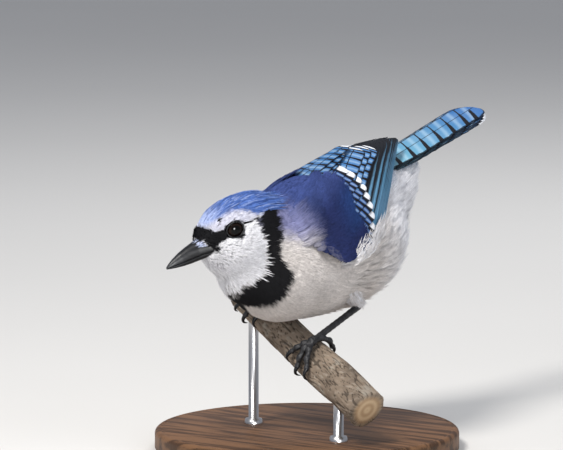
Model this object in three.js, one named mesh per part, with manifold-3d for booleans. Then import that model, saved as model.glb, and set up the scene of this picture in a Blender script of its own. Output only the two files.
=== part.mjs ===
// A life-size blue jay, crouched on a cut length of branch that two short rods hold over a flat base.
// Millimetres, +Z up. The bird faces -Y, and +X is its left. The origin is under the middle of the base.
// The bird is drawn round a point inside its breast, BODY_HEIGHT above the floor, and moved to its place at the end.
import * as THREE from "three";
import { mergeVertices } from "three/addons/utils/BufferGeometryUtils.js";
import Module from "manifold-3d";

const wasm = await Module();
wasm.setup();

// Driving sizes
const BODY_HEIGHT = 100; // the bird's own zero point above the floor
const BASE_SHIFT = -14; // brings the middle of the base under the weight of the bird
const GAP = 0.3; // between pieces that meet
const BLEND = 3.2; // how softly the body's forms run together

// The plumage outline, as round forms: centre, radii, pitch (tail end up) and turn (to the bird's right), in degrees.
const HEAD_CENTRE = [-6, -38.5, 14.5];
const HEAD_PITCH = 20;
const HEAD_TURN = 22;
const BODY_FORMS = [
  { at: [0, 15, 1], radii: [29, 44, 29], pitch: 24, turn: 0 }, // trunk
  { at: [0, 6, 10], radii: [22, 29, 23.5], pitch: 22, turn: 0 }, // mantle
  { at: [0, -13, -10], radii: [23, 20, 22], pitch: 0, turn: 0 }, // breast
  { at: [0, 10, -12], radii: [24, 28, 20.5], pitch: 4, turn: 0 }, // belly
  { at: [0, 41, -4], radii: [31, 36, 25], pitch: 22, turn: 0 }, // flanks and vent
  { at: [0, 72, 14], radii: [15, 22, 13], pitch: 32, turn: 0 }, // under the tail
  { at: [0, 52, 19], radii: [19, 27, 14], pitch: 20, turn: 0 }, // rump
  { at: [0, 78, 26], radii: [11, 23, 8], pitch: 18, turn: 0 }, // tail coverts
  { at: [-3, -20, 6], radii: [17, 18, 17], pitch: 10, turn: 10 }, // neck
  { at: [-4, -30, -7], radii: [13, 12, 15], pitch: -24, turn: 12 }, // foreneck
];
// These are placed in the head's own frame: x to its left, y back, z up, from the middle of the skull.
const HEAD_FORMS = [
  { at: [0, -2.5, 0.5], radii: [12.2, 15.5, 13] }, // skull
  { at: [0, -12, -2.5], radii: [6.5, 7, 7] }, // face
  { at: [6.5, 0, -7], radii: [7.5, 11, 8] }, // left cheek
  { at: [-6.5, 0, -7], radii: [7.5, 11, 8] }, // right cheek
  { at: [0, -8, -11], radii: [7.5, 9, 7.5] }, // chin and throat
  { at: [0, 10, 0.5], radii: [11.5, 15, 11.5] }, // back of the crown
];
const EYE_AT = [9, -4, 2.8]; // the left one, in the head's frame
const EYE_RADIUS = 5;
const NECK_FRONT = { at: [-3, -29, 3], pitch: -16, turn: 16 }; // where the head meets the neck
const NECK_BACK = { at: [0, -6, 0], pitch: 4, turn: 6 }; // where the neck meets the torso

const X = new THREE.Vector3(1, 0, 0);
const Y = new THREE.Vector3(0, 1, 0);
const Z = new THREE.Vector3(0, 0, 1);
const rad = THREE.MathUtils.degToRad;
const lerp = THREE.MathUtils.lerp;
const vec = (list) => new THREE.Vector3(...list);

// A value between those of a list, from the first at 0 to the last at 1.
function along(list, share) {
  const place = THREE.MathUtils.clamp(share, 0, 1) * (list.length - 1);
  const i = Math.min(list.length - 2, Math.floor(place));
  return lerp(list[i], list[i + 1], place - i);
}

// A turn by pitch and turn: +X to the left, +Y back and +Z up, before it.
function turned(pitch, turn) {
  const quaternion = new THREE.Quaternion().setFromAxisAngle(Z, -rad(turn));
  return quaternion.multiply(new THREE.Quaternion().setFromAxisAngle(X, rad(pitch)));
}

// The head's frame, and a place given in it.
const headTurn = turned(HEAD_PITCH, HEAD_TURN);
const inHead = (x, y, z) => new THREE.Vector3(x, y, z).applyQuaternion(headTurn).add(vec(HEAD_CENTRE));

function makeForm(centre, turn, radii) {
  return { centre, back: turn.clone().invert(), radii: vec(radii) };
}

const forms = [
  ...BODY_FORMS.map((f) => makeForm(vec(f.at), turned(f.pitch, f.turn), f.radii)),
  ...HEAD_FORMS.map((f) => makeForm(inHead(...f.at), headTurn, f.radii)),
];

// About how far a point lies outside the plumage. Less than zero is inside.
function outside(point) {
  let sum = 0;
  for (const form of forms) {
    const q = point.clone().sub(form.centre).applyQuaternion(form.back);
    const near = q.divide(form.radii).length();
    const steep = q.divide(form.radii).length();
    const distance = near < 1e-6 ? -form.radii.z : (near * (near - 1)) / steep;
    sum += Math.exp(-distance / BLEND);
  }
  return -BLEND * Math.log(sum);
}

// Straight out from the plumage at a point
function outward(point) {
  const step = 0.05;
  const here = outside(point);
  const rise = (axis) => outside(point.clone().addScaledVector(axis, step)) - here;
  return new THREE.Vector3(rise(X), rise(Y), rise(Z)).normalize();
}

// A point brought to a height over the plumage.
function settle(point, height) {
  const moved = point.clone();
  for (let i = 0; i < 6; i++) {
    const miss = height - outside(moved);
    if (Math.abs(miss) < 1e-3) break;
    moved.addScaledVector(outward(moved), miss);
  }
  return moved;
}

// How far the plumage reaches from an inner point along a direction, out to the given offset.
function reach(from, direction, offset) {
  let distance = 0;
  for (let i = 0; i < 60; i++) {
    const miss = offset - outside(from.clone().addScaledVector(direction, distance));
    distance += miss * 0.8;
    if (Math.abs(miss) < 1e-3) break;
  }
  return distance;
}

// Closed geometry from rings of points, with a cap fanned from a pole, or else from the middle of each end ring.
// thin is for a blade, where the second half of each ring lies close under the first: both halves are then cut
// along the same diagonals, so that the two faces of a twisted blade don't cross.
function loft(rings, { startPole, endPole, thin = false } = {}) {
  const count = rings[0].length;
  const points = rings.flat();
  const middle = (ring) => ring.reduce((a, b) => a.add(b), new THREE.Vector3()).divideScalar(count);
  points.push(startPole || middle(rings[0]), endPole || middle(rings.at(-1)));
  const first = points.length - 2;
  const last = points.length - 1;
  const faces = [];
  for (let r = 0; r + 1 < rings.length; r++) {
    for (let k = 0; k < count; k++) {
      const a = r * count + k;
      const b = r * count + ((k + 1) % count);
      if (thin && k >= count / 2) faces.push(a, b, b + count, a, b + count, a + count);
      else faces.push(a, b, a + count, b, b + count, a + count);
    }
  }
  const end = (rings.length - 1) * count;
  for (let k = 0; k < count; k++) {
    const next = (k + 1) % count;
    faces.push(first, next, k);
    faces.push(last, end + k, end + next);
  }
  const geometry = new THREE.BufferGeometry();
  geometry.setAttribute("position", new THREE.Float32BufferAttribute(points.flatMap((p) => p.toArray()), 3));
  geometry.setIndex(faces);
  return geometry;
}

// A closed ring of rings, with no ends
function hoop(rings) {
  const count = rings[0].length;
  const faces = [];
  for (let r = 0; r < rings.length; r++) {
    for (let k = 0; k < count; k++) {
      const a = r * count + k;
      const b = r * count + ((k + 1) % count);
      const c = ((r + 1) % rings.length) * count + k;
      const d = ((r + 1) % rings.length) * count + ((k + 1) % count);
      faces.push(a, b, c, b, d, c);
    }
  }
  const geometry = new THREE.BufferGeometry();
  const points = rings.flat().flatMap((p) => p.toArray());
  geometry.setAttribute("position", new THREE.Float32BufferAttribute(points, 3));
  geometry.setIndex(faces);
  return geometry;
}

// Joining and cutting
function solid(geometry) {
  const bare = new THREE.BufferGeometry().setAttribute("position", geometry.getAttribute("position").clone());
  if (geometry.index) bare.setIndex(geometry.index.clone());
  const merged = mergeVertices(bare, 1e-4);
  const vertProperties = merged.attributes.position.array;
  const triVerts = new Uint32Array(merged.index.array);
  const made = (order) => new wasm.Manifold(new wasm.Mesh({ numProp: 3, vertProperties, triVerts: order }));
  const shape = made(triVerts);
  return shape.volume() < 0 ? made(triVerts.slice().reverse()) : shape;
}

const joined = (solids) => solids.reduce((a, b) => a.add(b));

function largest(shape) {
  const pieces = shape.decompose();
  return pieces.reduce((a, b) => (b.volume() > a.volume() ? b : a));
}

// The largest piece of a solid as a closed geometry, with hollows that fusing has sealed filled in.
function geometryOf(shape) {
  const mesh = largest(shape).getMesh();
  const geometry = new THREE.BufferGeometry();
  geometry.setAttribute("position", new THREE.Float32BufferAttribute(mesh.vertProperties, 3));
  geometry.setIndex(new THREE.Uint32BufferAttribute(mesh.triVerts, 1));
  return geometry;
}

// The plumage outline from the bill to the tail coverts, as rings about a line inside the body, with a fan at each end.
const BODY_LINE = [
  inHead(0, -12, -3),
  vec([-3.5, -24, 7]),
  vec([0, 14, 2]),
  vec([0, 46, 12]),
  vec([0, 88, 29]),
];
const BODY_PITCHES = [4, 0, 8, 16, 18]; // how each ring leans, from the head to the tail
const BODY_TURNS = [22, 14, 0, 0, 0];
const BODY_RINGS = 24;
const BODY_SIDES = 22;
const FAN = [28, 52, 74]; // degrees past the last ring

function bodyShell(offset) {
  const line = new THREE.CatmullRomCurve3(BODY_LINE, false, "centripetal");
  const ringAt = (u, fan) => {
    const at = line.getPoint(u);
    const frame = turned(along(BODY_PITCHES, u), along(BODY_TURNS, u));
    const ring = [];
    for (let k = 0; k < BODY_SIDES; k++) {
      const angle = (k / BODY_SIDES) * Math.PI * 2;
      const out = Math.cos(rad(fan));
      const ray = new THREE.Vector3(Math.cos(angle) * out, Math.sin(rad(fan)), Math.sin(angle) * out);
      ray.applyQuaternion(frame);
      ring.push(at.clone().addScaledVector(ray, reach(at, ray, offset)));
    }
    return ring;
  };
  const rings = FAN.map((fan) => ringAt(0, -fan)).reverse();
  for (let i = 0; i < BODY_RINGS; i++) rings.push(ringAt(i / (BODY_RINGS - 1), 0));
  rings.push(...FAN.map((fan) => ringAt(1, fan)));
  return solid(loft(rings, { startPole: ringAt(0, -90)[0], endPole: ringAt(1, 90)[0] }));
}

// One side of a plane through a point: everything behind it, or in front of it with sign -1, short of it by a gap
const FAR = 300;
function beyond({ at, pitch, turn }, sign, gap) {
  const box = new THREE.BoxGeometry(FAR, FAR, FAR);
  box.translate(0, sign * (FAR / 2 + gap), 0);
  box.applyQuaternion(turned(pitch, turn));
  box.translate(...at);
  return solid(box);
}

// The perch: a cut length of branch, sloping down to the bird's left and a little forward
const PERCH_AT = vec([0, 1.75, -44.1]);
const PERCH_ALONG = vec([1, -0.25, -0.5]).normalize();
const PERCH_UP = Z.clone().addScaledVector(PERCH_ALONG, -PERCH_ALONG.z).normalize();
const PERCH_FORWARD = new THREE.Vector3().crossVectors(PERCH_ALONG, PERCH_UP);
const PERCH_RADIUS = 9.4; // between the feet
const PERCH_TAPER = 0.016; // growth in radius for each mm towards the lower end
const PERCH_ENDS = [-42, 64];
const PERCH_SIDES = 16;
const PERCH_STEPS = 16;
// Waves round the branch: height in mm, count, and turn for each mm along it.
const PERCH_WAVES = [[0.35, 3, 0.07], [0.25, 2, -0.11]];

const perchPoint = (along, angle, out) =>
  PERCH_AT.clone()
    .addScaledVector(PERCH_ALONG, along)
    .addScaledVector(PERCH_UP, Math.cos(angle) * out)
    .addScaledVector(PERCH_FORWARD, Math.sin(angle) * out);
const perchRadius = (along) => PERCH_RADIUS + PERCH_TAPER * along;

function perchShell(offset) {
  const rings = [];
  for (let i = 0; i <= PERCH_STEPS; i++) {
    const t = lerp(PERCH_ENDS[0], PERCH_ENDS[1], i / PERCH_STEPS);
    const ring = [];
    for (let k = 0; k < PERCH_SIDES; k++) {
      const angle = (k / PERCH_SIDES) * Math.PI * 2;
      const gnarl = PERCH_WAVES.reduce((sum, [rise, count, turn]) => sum + rise * Math.sin(count * angle + turn * t), 0);
      ring.push(perchPoint(t, angle, perchRadius(t) + gnarl + offset));
    }
    rings.push(ring);
  }
  return solid(loft(rings));
}

const bird = new THREE.Group();
const finish = (color, roughness, metalness = 0) => new THREE.MeshStandardMaterial({ color, roughness, metalness });
const colours = {
  blue: 0x3d5f9e,
  crown: 0x4a6fb4,
  white: 0xd8d8dc,
  black: 0x15161c,
  eye: 0x1c1210,
  bark: 0x8a735a,
  wood: 0x6b4a30,
  steel: 0x9a9a9a,
};

function addPiece(group, name, shape, material) {
  const mesh = new THREE.Mesh(geometryOf(shape), material);
  mesh.name = name;
  group.add(mesh);
}

// Vanes: thin blades that lie on a surface. A surface gives a point and its outward normal for a place (s, q).
const VANE_THICK = 0.5;
const VANE_STEPS = [0, 0.3, 0.62, 0.88, 1];
const VANE_RISE = 0.35; // share of its length over which a vane comes up out of what it grows from

const VANE_ROOT = 0.45; // width at the root, as a share of the full width
const VANE_TIP = 0.12; // and at the tip

// How wide a vane is along its length, as a share of its full width: it rounds off from taper to its tip.
function vaneShare(t, taper) {
  const root = lerp(VANE_ROOT, 1, Math.min(1, t / VANE_RISE));
  const round = t <= taper ? 1 : Math.sqrt(Math.max(0, 1 - ((t - taper) / (1 - taper)) ** 2));
  return Math.max(root * round, VANE_TIP);
}

// root and tip are places (s, q); height and lift are how far it stands off at its root and tip; tilt leans it
// about its own length; bend is the curvature of what it lies on, for each mm.
function vane(surface, { root, tip, width, taper, height, lift, rise = VANE_RISE, tilt = 0, bend = 0 }) {
  const middle = VANE_STEPS.map((t) => {
    const { point, normal } = surface(lerp(root[0], tip[0], t), lerp(root[1], tip[1], t));
    const stand = lerp(height, lift, Math.min(1, t / rise));
    return { t, normal, at: point.clone().addScaledVector(normal, stand) };
  });
  const rings = middle.map(({ t, normal, at }, i) => {
    const before = middle[Math.max(0, i - 1)].at;
    const after = middle[Math.min(middle.length - 1, i + 1)].at;
    const along = after.clone().sub(before).normalize();
    const side = new THREE.Vector3().crossVectors(along, normal).normalize();
    const out = new THREE.Vector3().crossVectors(side, along);
    const half = (width / 2) * vaneShare(t, taper);
    const place = (across, up) => {
      const drop = across * tilt - across * across * bend;
      return at.clone().addScaledVector(side, across).addScaledVector(out, drop + up);
    };
    const thick = VANE_THICK / 2;
    return [place(-half, thick), place(half, thick), place(half, -thick), place(-half, -thick)];
  });
  return solid(loft(rings, { thin: true }));
}

// The left wing lies on the plumage, between an upper edge along the back and a lower edge along the flank.
const WING_TOP = [
  [14, -14, 21.5],
  [12, 8, 31],
  [5, 30, 39.5],
  [1.5, 54, 45.6],
  [1, 86, 48],
];
const WING_BOTTOM = [
  [28.5, -16, -1],
  [35, 2, -1],
  [33.5, 19, 8],
  [22, 50, 26],
  [7, 88, 42],
];
const WING_BULGE = [0.5, 2.5, 3.5, 3.5, 0.8]; // how far it stands out between those edges
const WING_CLEAR = -0.2; // lowest height over the plumage

const wingTop = new THREE.CatmullRomCurve3(WING_TOP.map(vec), false, "catmullrom", 0.5);
const wingBottom = new THREE.CatmullRomCurve3(WING_BOTTOM.map(vec), false, "catmullrom", 0.5);

function wingPoint(s, q) {
  const share = THREE.MathUtils.clamp(s, 0, 1);
  const top = wingTop.getPoint(share);
  const bottom = wingBottom.getPoint(share);
  const chord = bottom.clone().sub(top);
  const out = new THREE.Vector3().crossVectors(chord, wingTop.getTangent(share)).normalize();
  const free = top.lerp(bottom, q).addScaledVector(out, along(WING_BULGE, share) * 4 * q * (1 - q));
  return settle(free, WING_CLEAR + Math.log1p(Math.exp(outside(free) - WING_CLEAR)));
}

function wingSurface(s, q) {
  const step = 0.01;
  const point = wingPoint(s, q);
  const ahead = wingPoint(Math.min(1, s + step), q).sub(wingPoint(Math.max(0, s - step), q));
  const down = wingPoint(s, q + step).sub(wingPoint(s, q - step));
  return { point, normal: new THREE.Vector3().crossVectors(down, ahead).normalize() };
}

// The arm under the small coverts: a low dome on the wing's surface, sunk into the side of the body
const ARM_LENGTH = 0.34;
const ARM_RISE = [-1.5, 0.5, 0.7, 0.2];
const ARM_SUNK = 3.3;
const ARM_STEPS = 7;
const ARM_SIDES = 8;
const ARM_DOME = [0.12, 0.85]; // the part of a half circle that its outline follows
const ARM_SPREAD = 0.48; // how far it reaches from its middle line, as a share of the wing's width

function wingArm() {
  const rings = [];
  for (let i = 0; i <= ARM_STEPS; i++) {
    const t = i / ARM_STEPS;
    const dome = ARM_SPREAD * Math.sin(Math.PI * lerp(...ARM_DOME, t)) ** 0.5;
    const outer = [];
    const inner = [];
    for (let k = 0; k <= ARM_SIDES; k++) {
      const q = lerp(0.5 - dome, 0.5 + dome, k / ARM_SIDES);
      const { point, normal } = wingSurface(t * ARM_LENGTH, q);
      outer.push(point.clone().addScaledVector(normal, along(ARM_RISE, t)));
      inner.push(point.clone().addScaledVector(normal, -ARM_SUNK));
    }
    rings.push([...outer, ...inner.reverse()]);
  }
  return solid(loft(rings, { thin: true }));
}

// Rows of wing feathers, each from its inmost to its outmost: the places of their roots and tips on the wing's
// surface, their widths, how far they stand off it at root and tip, and how much lower each lies than the last.
const WING_ROWS = [
  { name: "primary", count: 5, root: [0.36, 0.86, 0.95], tip: [0.93, 0.985, 0.1, 0.5], width: [9, 6] },
  { name: "secondary", count: 5, root: [0.32, 0.62, 0.84], tip: [0.82, 0.92, 0.03, 0.12], width: [11, 10] },
  { name: "tertial", count: 3, root: [0.3, 0.34, 0.56], tip: [0.71, 0.79, 0.02, 0.14], width: [12, 12] },
  { name: "covert", count: 8, root: [0.28, 0.12, 0.92], tip: [0.54, 0.55, 0.08, 0.94], width: [8.5, 7] },
];
const WING_STAND = {
  primary: [-0.6, 0, 0.4],
  secondary: [-0.5, 0.5, 0],
  tertial: [-0.5, 0.9, 0],
  covert: [-0.75, 1.2, 0],
};
const WING_TAPER = 0.72;
const WING_TILT = 0.2; // the outer edge of each lies over the inner edge of the next
const WING_BEND = 0.012;

function wing() {
  const vanes = [wingArm()];
  for (const { name, count, root, tip, width } of WING_ROWS) {
    const [height, lift, sink] = WING_STAND[name];
    for (let i = 0; i < count; i++) {
      const t = i / (count - 1);
      vanes.push(
        vane(wingSurface, {
          root: [root[0], lerp(root[1], root[2], t)],
          tip: [lerp(tip[0], tip[1], t), lerp(tip[2], tip[3], t)],
          width: lerp(width[0], width[1], t),
          taper: WING_TAPER,
          height: height - sink * i,
          lift: lift - sink * i,
          tilt: WING_TILT,
          bend: WING_BEND,
        }),
      );
    }
  }
  return joined(vanes);
}

// The tail's feathers lie on a long, slightly crowned plane; places on it are in mm, back from its root and to the left.
const TAIL_ROOT = [1.2, 62, 31.5];
const TAIL_PITCH = 15.6;
const TAIL_TURN = 1;
const TAIL_CROWN = 0.003; // how it falls away to each side, for each mm squared
const TAIL_LENGTH = 91.5;
const TAIL_PAIRS = 6;
const TAIL_STEP = 0.2; // each feather lies this far under the one before
const RECTRIX_WIDTH = 20; // the middle pair's
const RECTRIX_NARROWS = 0.8; // each pair is this much narrower than the last
const RECTRIX_SHORTENS = 0.16; // and its tips fall short by this times the square of its number
const RECTRIX_TAPER = 0.86;
const RECTRIX_ROOT = [0.4, 0.5]; // how far from the middle the first pair's roots lie, and how much further each next
const RECTRIX_TIP = [0.5, 1.25]; // the same for the tips

function tailSurface(back, left) {
  const frame = turned(TAIL_PITCH, TAIL_TURN);
  const point = new THREE.Vector3(left, back, -TAIL_CROWN * left * left).applyQuaternion(frame).add(vec(TAIL_ROOT));
  const normal = new THREE.Vector3(2 * TAIL_CROWN * left, 0, 1).normalize().applyQuaternion(frame);
  return { point, normal };
}

function tail() {
  const vanes = [];
  for (let pair = 0; pair < TAIL_PAIRS; pair++) {
    for (const side of [-1, 1]) {
      const depth = -TAIL_STEP * (2 * pair + (side > 0 ? 1 : 0));
      vanes.push(
        vane(tailSurface, {
          root: [0, side * (RECTRIX_ROOT[0] + RECTRIX_ROOT[1] * pair)],
          tip: [TAIL_LENGTH - RECTRIX_SHORTENS * pair ** 2, side * (RECTRIX_TIP[0] + RECTRIX_TIP[1] * pair)],
          width: RECTRIX_WIDTH - RECTRIX_NARROWS * pair,
          taper: RECTRIX_TAPER,
          height: depth,
          lift: depth,
        }),
      );
    }
  }
  return joined(vanes);
}

// The bill, in the head's frame: both halves run from a root in the head to one tip, either side of the mouth line.
const BILL_ROOT = [0, -13, -3.9];
const BILL_TIP = [0, -40.5, -3.4];
const BILL_DROOP = 0.9; // how far the mouth line sinks at the gape
const GAPE_LENGTH = 0.4; // the share of the bill over which it sinks
const BILL_STATIONS = [0, 0.18, 0.36, 0.52, 0.68, 0.82, 0.93, 0.985];
const BILL_WIDTH = [15, 11.6, 8.9, 7.3, 5.8, 4.1, 2.4, 1.1];
const UPPER_HEIGHT = [6.6, 6.7, 6.3, 5.5, 4.4, 3, 1.6, 0.6];
const LOWER_HEIGHT = [3, 3, 2.9, 2.7, 2.2, 1.5, 0.8, 0.35];
const BILL_SIDES = 8;
const BILL_ROUND = 0.8; // below 1 it is fuller than a half ellipse

// sign is 1 for the upper half and -1 for the lower; grow makes it larger all round.
function billHalf(sign, grow) {
  const heights = sign > 0 ? UPPER_HEIGHT : LOWER_HEIGHT;
  const rings = BILL_STATIONS.map((t, i) => {
    const middle = vec(BILL_ROOT).lerp(vec(BILL_TIP), t);
    middle.z -= BILL_DROOP * Math.max(0, 1 - t / GAPE_LENGTH) ** 2;
    if (i === 0) middle.y += 2 * grow;
    const half = BILL_WIDTH[i] / 2 + grow;
    const flat = sign * (GAP / 2 - grow);
    const ring = [];
    for (let k = 0; k <= BILL_SIDES; k++) {
      const angle = (Math.PI * k) / BILL_SIDES;
      const rise = (heights[i] + 2 * grow) * Math.sin(angle) ** BILL_ROUND;
      ring.push(inHead(half * Math.cos(angle), middle.y, middle.z + flat + sign * rise));
    }
    return ring;
  });
  const start = vec(BILL_ROOT);
  const end = vec(BILL_TIP);
  const startPole = inHead(0, start.y + 2 * grow, start.z - BILL_DROOP);
  const endPole = inHead(0, end.y - grow, end.z + sign * (GAP - grow));
  return solid(loft(rings, { startPole, endPole }));
}

// Eyes and lids. An eye looks out to its side, a little forward and up.
const EYE_LOOK = [0.96, -0.25, 0.1];
const LID_HALF = [4.3, 3.75];
const LID_THICK = 0.75;
const LID_STEPS = 20;
const LID_SIDES = 6;
const LID_SEAT = 0.55; // how much of its thickness stands off the eyeball
const EYE_SIDES = [14, 10];

const mirrored = (list, side) => [side * list[0], list[1], list[2]];

function eyeball(side, grow) {
  const ball = new THREE.SphereGeometry(EYE_RADIUS + grow, ...EYE_SIDES);
  return solid(ball.translate(...inHead(...mirrored(EYE_AT, side)).toArray()));
}

function lids(side) {
  const look = vec(mirrored(EYE_LOOK, side)).normalize();
  const across = new THREE.Vector3().crossVectors(Z, look).normalize();
  const over = new THREE.Vector3().crossVectors(look, across);
  const seat = EYE_RADIUS + GAP + LID_THICK * LID_SEAT;
  const rings = [];
  for (let i = 0; i < LID_STEPS; i++) {
    const angle = (i / LID_STEPS) * Math.PI * 2;
    const flat = across.clone().multiplyScalar(LID_HALF[0] * Math.cos(angle));
    flat.addScaledVector(over, LID_HALF[1] * Math.sin(angle));
    const middle = flat.clone().addScaledVector(look, Math.sqrt(seat ** 2 - flat.lengthSq()));
    const out = middle.clone().normalize();
    const side1 = flat.clone().normalize();
    const side2 = side1.clone().addScaledVector(out, -side1.dot(out)).normalize();
    const ring = [];
    for (let k = 0; k < LID_SIDES; k++) {
      const turn = (k / LID_SIDES) * Math.PI * 2;
      const at = middle.clone().addScaledVector(out, LID_THICK * Math.cos(turn));
      at.addScaledVector(side2, LID_THICK * Math.sin(turn)).add(vec(mirrored(EYE_AT, side)));
      ring.push(inHead(...at.toArray()));
    }
    rings.push(ring);
  }
  return solid(hoop(rings));
}

// The crest, laid flat: a place on the crown is in mm back and to the left of the middle of the skull.
const CREST_STAND = { taper: 0.3, height: -1.4, lift: 1.7, rise: 1, bend: 0.03 };
const CREST_NARROWS = 0.8; // how much closer together the tips lie than the roots
const CREST_SHORTENS = 3; // how far the outer tips of a tier fall short of its middle one
const CREST_TIERS = [
  { from: -14, to: 0, count: 3, spread: 6, width: 5.6 },
  { from: -8, to: 8, count: 3, spread: 7.6, width: 6 },
  { from: -1, to: 17, count: 3, spread: 6.6, width: 6.4 },
  { from: 6, to: 27, count: 2, spread: 3.4, width: 6.6 },
  { from: 9, to: 36, count: 1, spread: 0, width: 7 },
];

// A rough height for the crown, in the head's frame, that settle() starts from.
const CROWN_GUESS = { top: 14, falls: 0.2, from: 8, round: 0.03 };

function crownSurface(back, left) {
  const { top, falls, from, round } = CROWN_GUESS;
  const guess = inHead(left, back, top - falls * Math.max(0, back - from) - round * left * left);
  const point = settle(guess, 0);
  return { point, normal: outward(point) };
}

function crest() {
  const vanes = [];
  for (const { from, to, count, spread, width } of CREST_TIERS) {
    for (let i = 0; i < count; i++) {
      const place = count > 1 ? (2 * i) / (count - 1) - 1 : 0;
      vanes.push(
        vane(crownSurface, {
          root: [from, place * spread],
          tip: [to - CREST_SHORTENS * place * place, place * spread * CREST_NARROWS],
          width,
          ...CREST_STAND,
        }),
      );
    }
  }
  return joined(vanes);
}

// The bristly tufts that lie forward over the nostrils: a place on the upper half of the bill is how far forward of
// the middle of the skull, in mm, and how far round from its side, in degrees.
const TUFT_ANGLES = [24, 48, 72];
const TUFT_FROM = 17;
const TUFT_TO = [23.5, 25, 26];
const TUFT_SHAPE = { width: 2.2, taper: 0.3, height: 0.5, lift: 0.6 };

function billSurface(side) {
  return (forward, round) => {
    const t = (forward + BILL_ROOT[1]) / (BILL_ROOT[1] - BILL_TIP[1]);
    const cos = Math.cos(rad(round));
    const sin = Math.sin(rad(round));
    const half = along(BILL_WIDTH, t) / 2;
    const point = inHead(side * half * cos, -forward, BILL_ROOT[2] + along(UPPER_HEIGHT, t) * sin ** BILL_ROUND);
    return { point, normal: new THREE.Vector3(side * cos, 0, sin).applyQuaternion(headTurn) };
  };
}

function tufts(side) {
  return joined(
    TUFT_ANGLES.map((round, i) =>
      vane(billSurface(side), { root: [TUFT_FROM, round], tip: [TUFT_TO[i], round], ...TUFT_SHAPE }),
    ),
  );
}

// Legs, feet and claws
const HEEL = [[23.2, 26, -28.5], [-20, 36, -25.5]]; // left, right
const FOOT_ALONG = [19, -23]; // where each foot stands along the perch
const FOOT_ANGLE = [24, 8]; // degrees forward of the top of the perch
const TARSUS_RADIUS = 1.5;
const TARSUS_SIDES = 8;
const TARSUS_SWELL = 1.25; // at the heel
const TARSUS_SCUTES = 8;
const SCUTE_RISE = 0.28;
const SCUTE_LENGTH = 0.82; // of its share of the tarsus
const ANKLE = 3; // from the middle of the foot to the end of the tarsus
const ANKLE_SWELL = 1.1;
const PAD_RISE = 1; // the middle of the foot over the line of the toes
const TOE_RADIUS = 1.45;
const TOE_CLEAR = 0.35; // under the toes, more than GAP
const TOE_TAPER = [1.1, 0.8];
const TOE_JOINTS = { rise: 0.18, count: 3 };
const TOE_ARCH = 1.2; // how far a toe's root rises to the middle of the foot
const CLAW_ARC = 34; // degrees round the perch
const CLAW_STEPS = 4;
const CLAW_RADII = [0.7, 0.2]; // as a share of the toe's at its root, and in mm at its point
const CLAW_HUMP = 1.5;
// Toes: degrees round the perch to the root of the claw, and how far along the perch they splay.
const TOES = [
  { to: 78, splay: -5.5 },
  { to: 98, splay: 2 },
  { to: 84, splay: 8.5 },
  { to: -62, splay: -1 },
];
const TOE_STEPS = 8;
const TOE_SIDES = 6;

// A closed tube along points, with a radius at each.
function tube(points, radii, sides) {
  const rings = points.map((point, i) => {
    const before = points[Math.max(0, i - 1)];
    const after = points[Math.min(points.length - 1, i + 1)];
    const ahead = after.clone().sub(before).normalize();
    const side = new THREE.Vector3().crossVectors(ahead, PERCH_ALONG).normalize();
    const up = new THREE.Vector3().crossVectors(side, ahead);
    const ring = [];
    for (let k = 0; k < sides; k++) {
      const angle = (k / sides) * Math.PI * 2;
      ring.push(
        point.clone().addScaledVector(side, Math.cos(angle) * radii[i]).addScaledVector(up, Math.sin(angle) * radii[i]),
      );
    }
    return ring;
  });
  return solid(loft(rings));
}

function footPad(which) {
  const at = FOOT_ALONG[which];
  return perchPoint(at, rad(FOOT_ANGLE[which]), perchRadius(at) + GAP + TOE_RADIUS + PAD_RISE);
}

function tarsus(which, grow = 0) {
  const from = vec(HEEL[which]);
  const to = footPad(which).add(from.clone().sub(footPad(which)).setLength(ANKLE));
  const points = [];
  const radii = [];
  for (let i = 0; i < TARSUS_SCUTES; i++) {
    for (const [share, rise] of [[0, SCUTE_RISE], [SCUTE_LENGTH, 0]]) {
      const t = (i + share) / TARSUS_SCUTES;
      points.push(from.clone().lerp(to, t));
      radii.push(TARSUS_RADIUS * lerp(TARSUS_SWELL, 1, Math.min(1, t * 4)) + rise + grow);
    }
  }
  points.push(to);
  radii.push(TARSUS_RADIUS * ANKLE_SWELL + grow);
  return tube(points, radii, TARSUS_SIDES);
}

function foot(which, grow = 0) {
  const at = FOOT_ALONG[which];
  const side = which === 0 ? 1 : -1;
  const pieces = [];
  const pad = footPad(which);
  const ankle = vec(HEEL[which]).sub(pad).setLength(ANKLE - GAP).add(pad);
  pieces.push(tube([pad, ankle], [TOE_RADIUS + PAD_RISE + grow, TARSUS_RADIUS * ANKLE_SWELL + grow], TOE_SIDES));
  for (const { to, splay } of TOES) {
    const outTo = (radius) => perchRadius(at) + GAP + TOE_CLEAR + radius;
    const points = [];
    const radii = [];
    for (let i = 0; i <= TOE_STEPS; i++) {
      const t = i / TOE_STEPS;
      const joint = TOE_JOINTS.rise * Math.cos(t * Math.PI * 2 * TOE_JOINTS.count);
      const radius = TOE_RADIUS * lerp(...TOE_TAPER, t) + joint;
      const angle = rad(lerp(FOOT_ANGLE[which], to, t));
      points.push(perchPoint(at + side * splay * t, angle, outTo(radius) + TOE_ARCH * (1 - t) ** 2));
      radii.push(radius);
    }
    for (let i = 1; i <= CLAW_STEPS; i++) {
      const t = i / CLAW_STEPS;
      const angle = rad(to + Math.sign(to) * CLAW_ARC * t);
      const radius = lerp(TOE_RADIUS * CLAW_RADII[0], CLAW_RADII[1], t ** 0.8);
      const hump = CLAW_HUMP * Math.sin(Math.PI * Math.min(1, t * 1.1));
      points.push(perchPoint(at + side * splay * (1 + 0.2 * t), angle, outTo(radius) + hump));
      radii.push(radius);
    }
    pieces.push(tube(points, radii.map((radius) => radius + grow), TOE_SIDES));
  }
  return joined(pieces);
}

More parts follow.
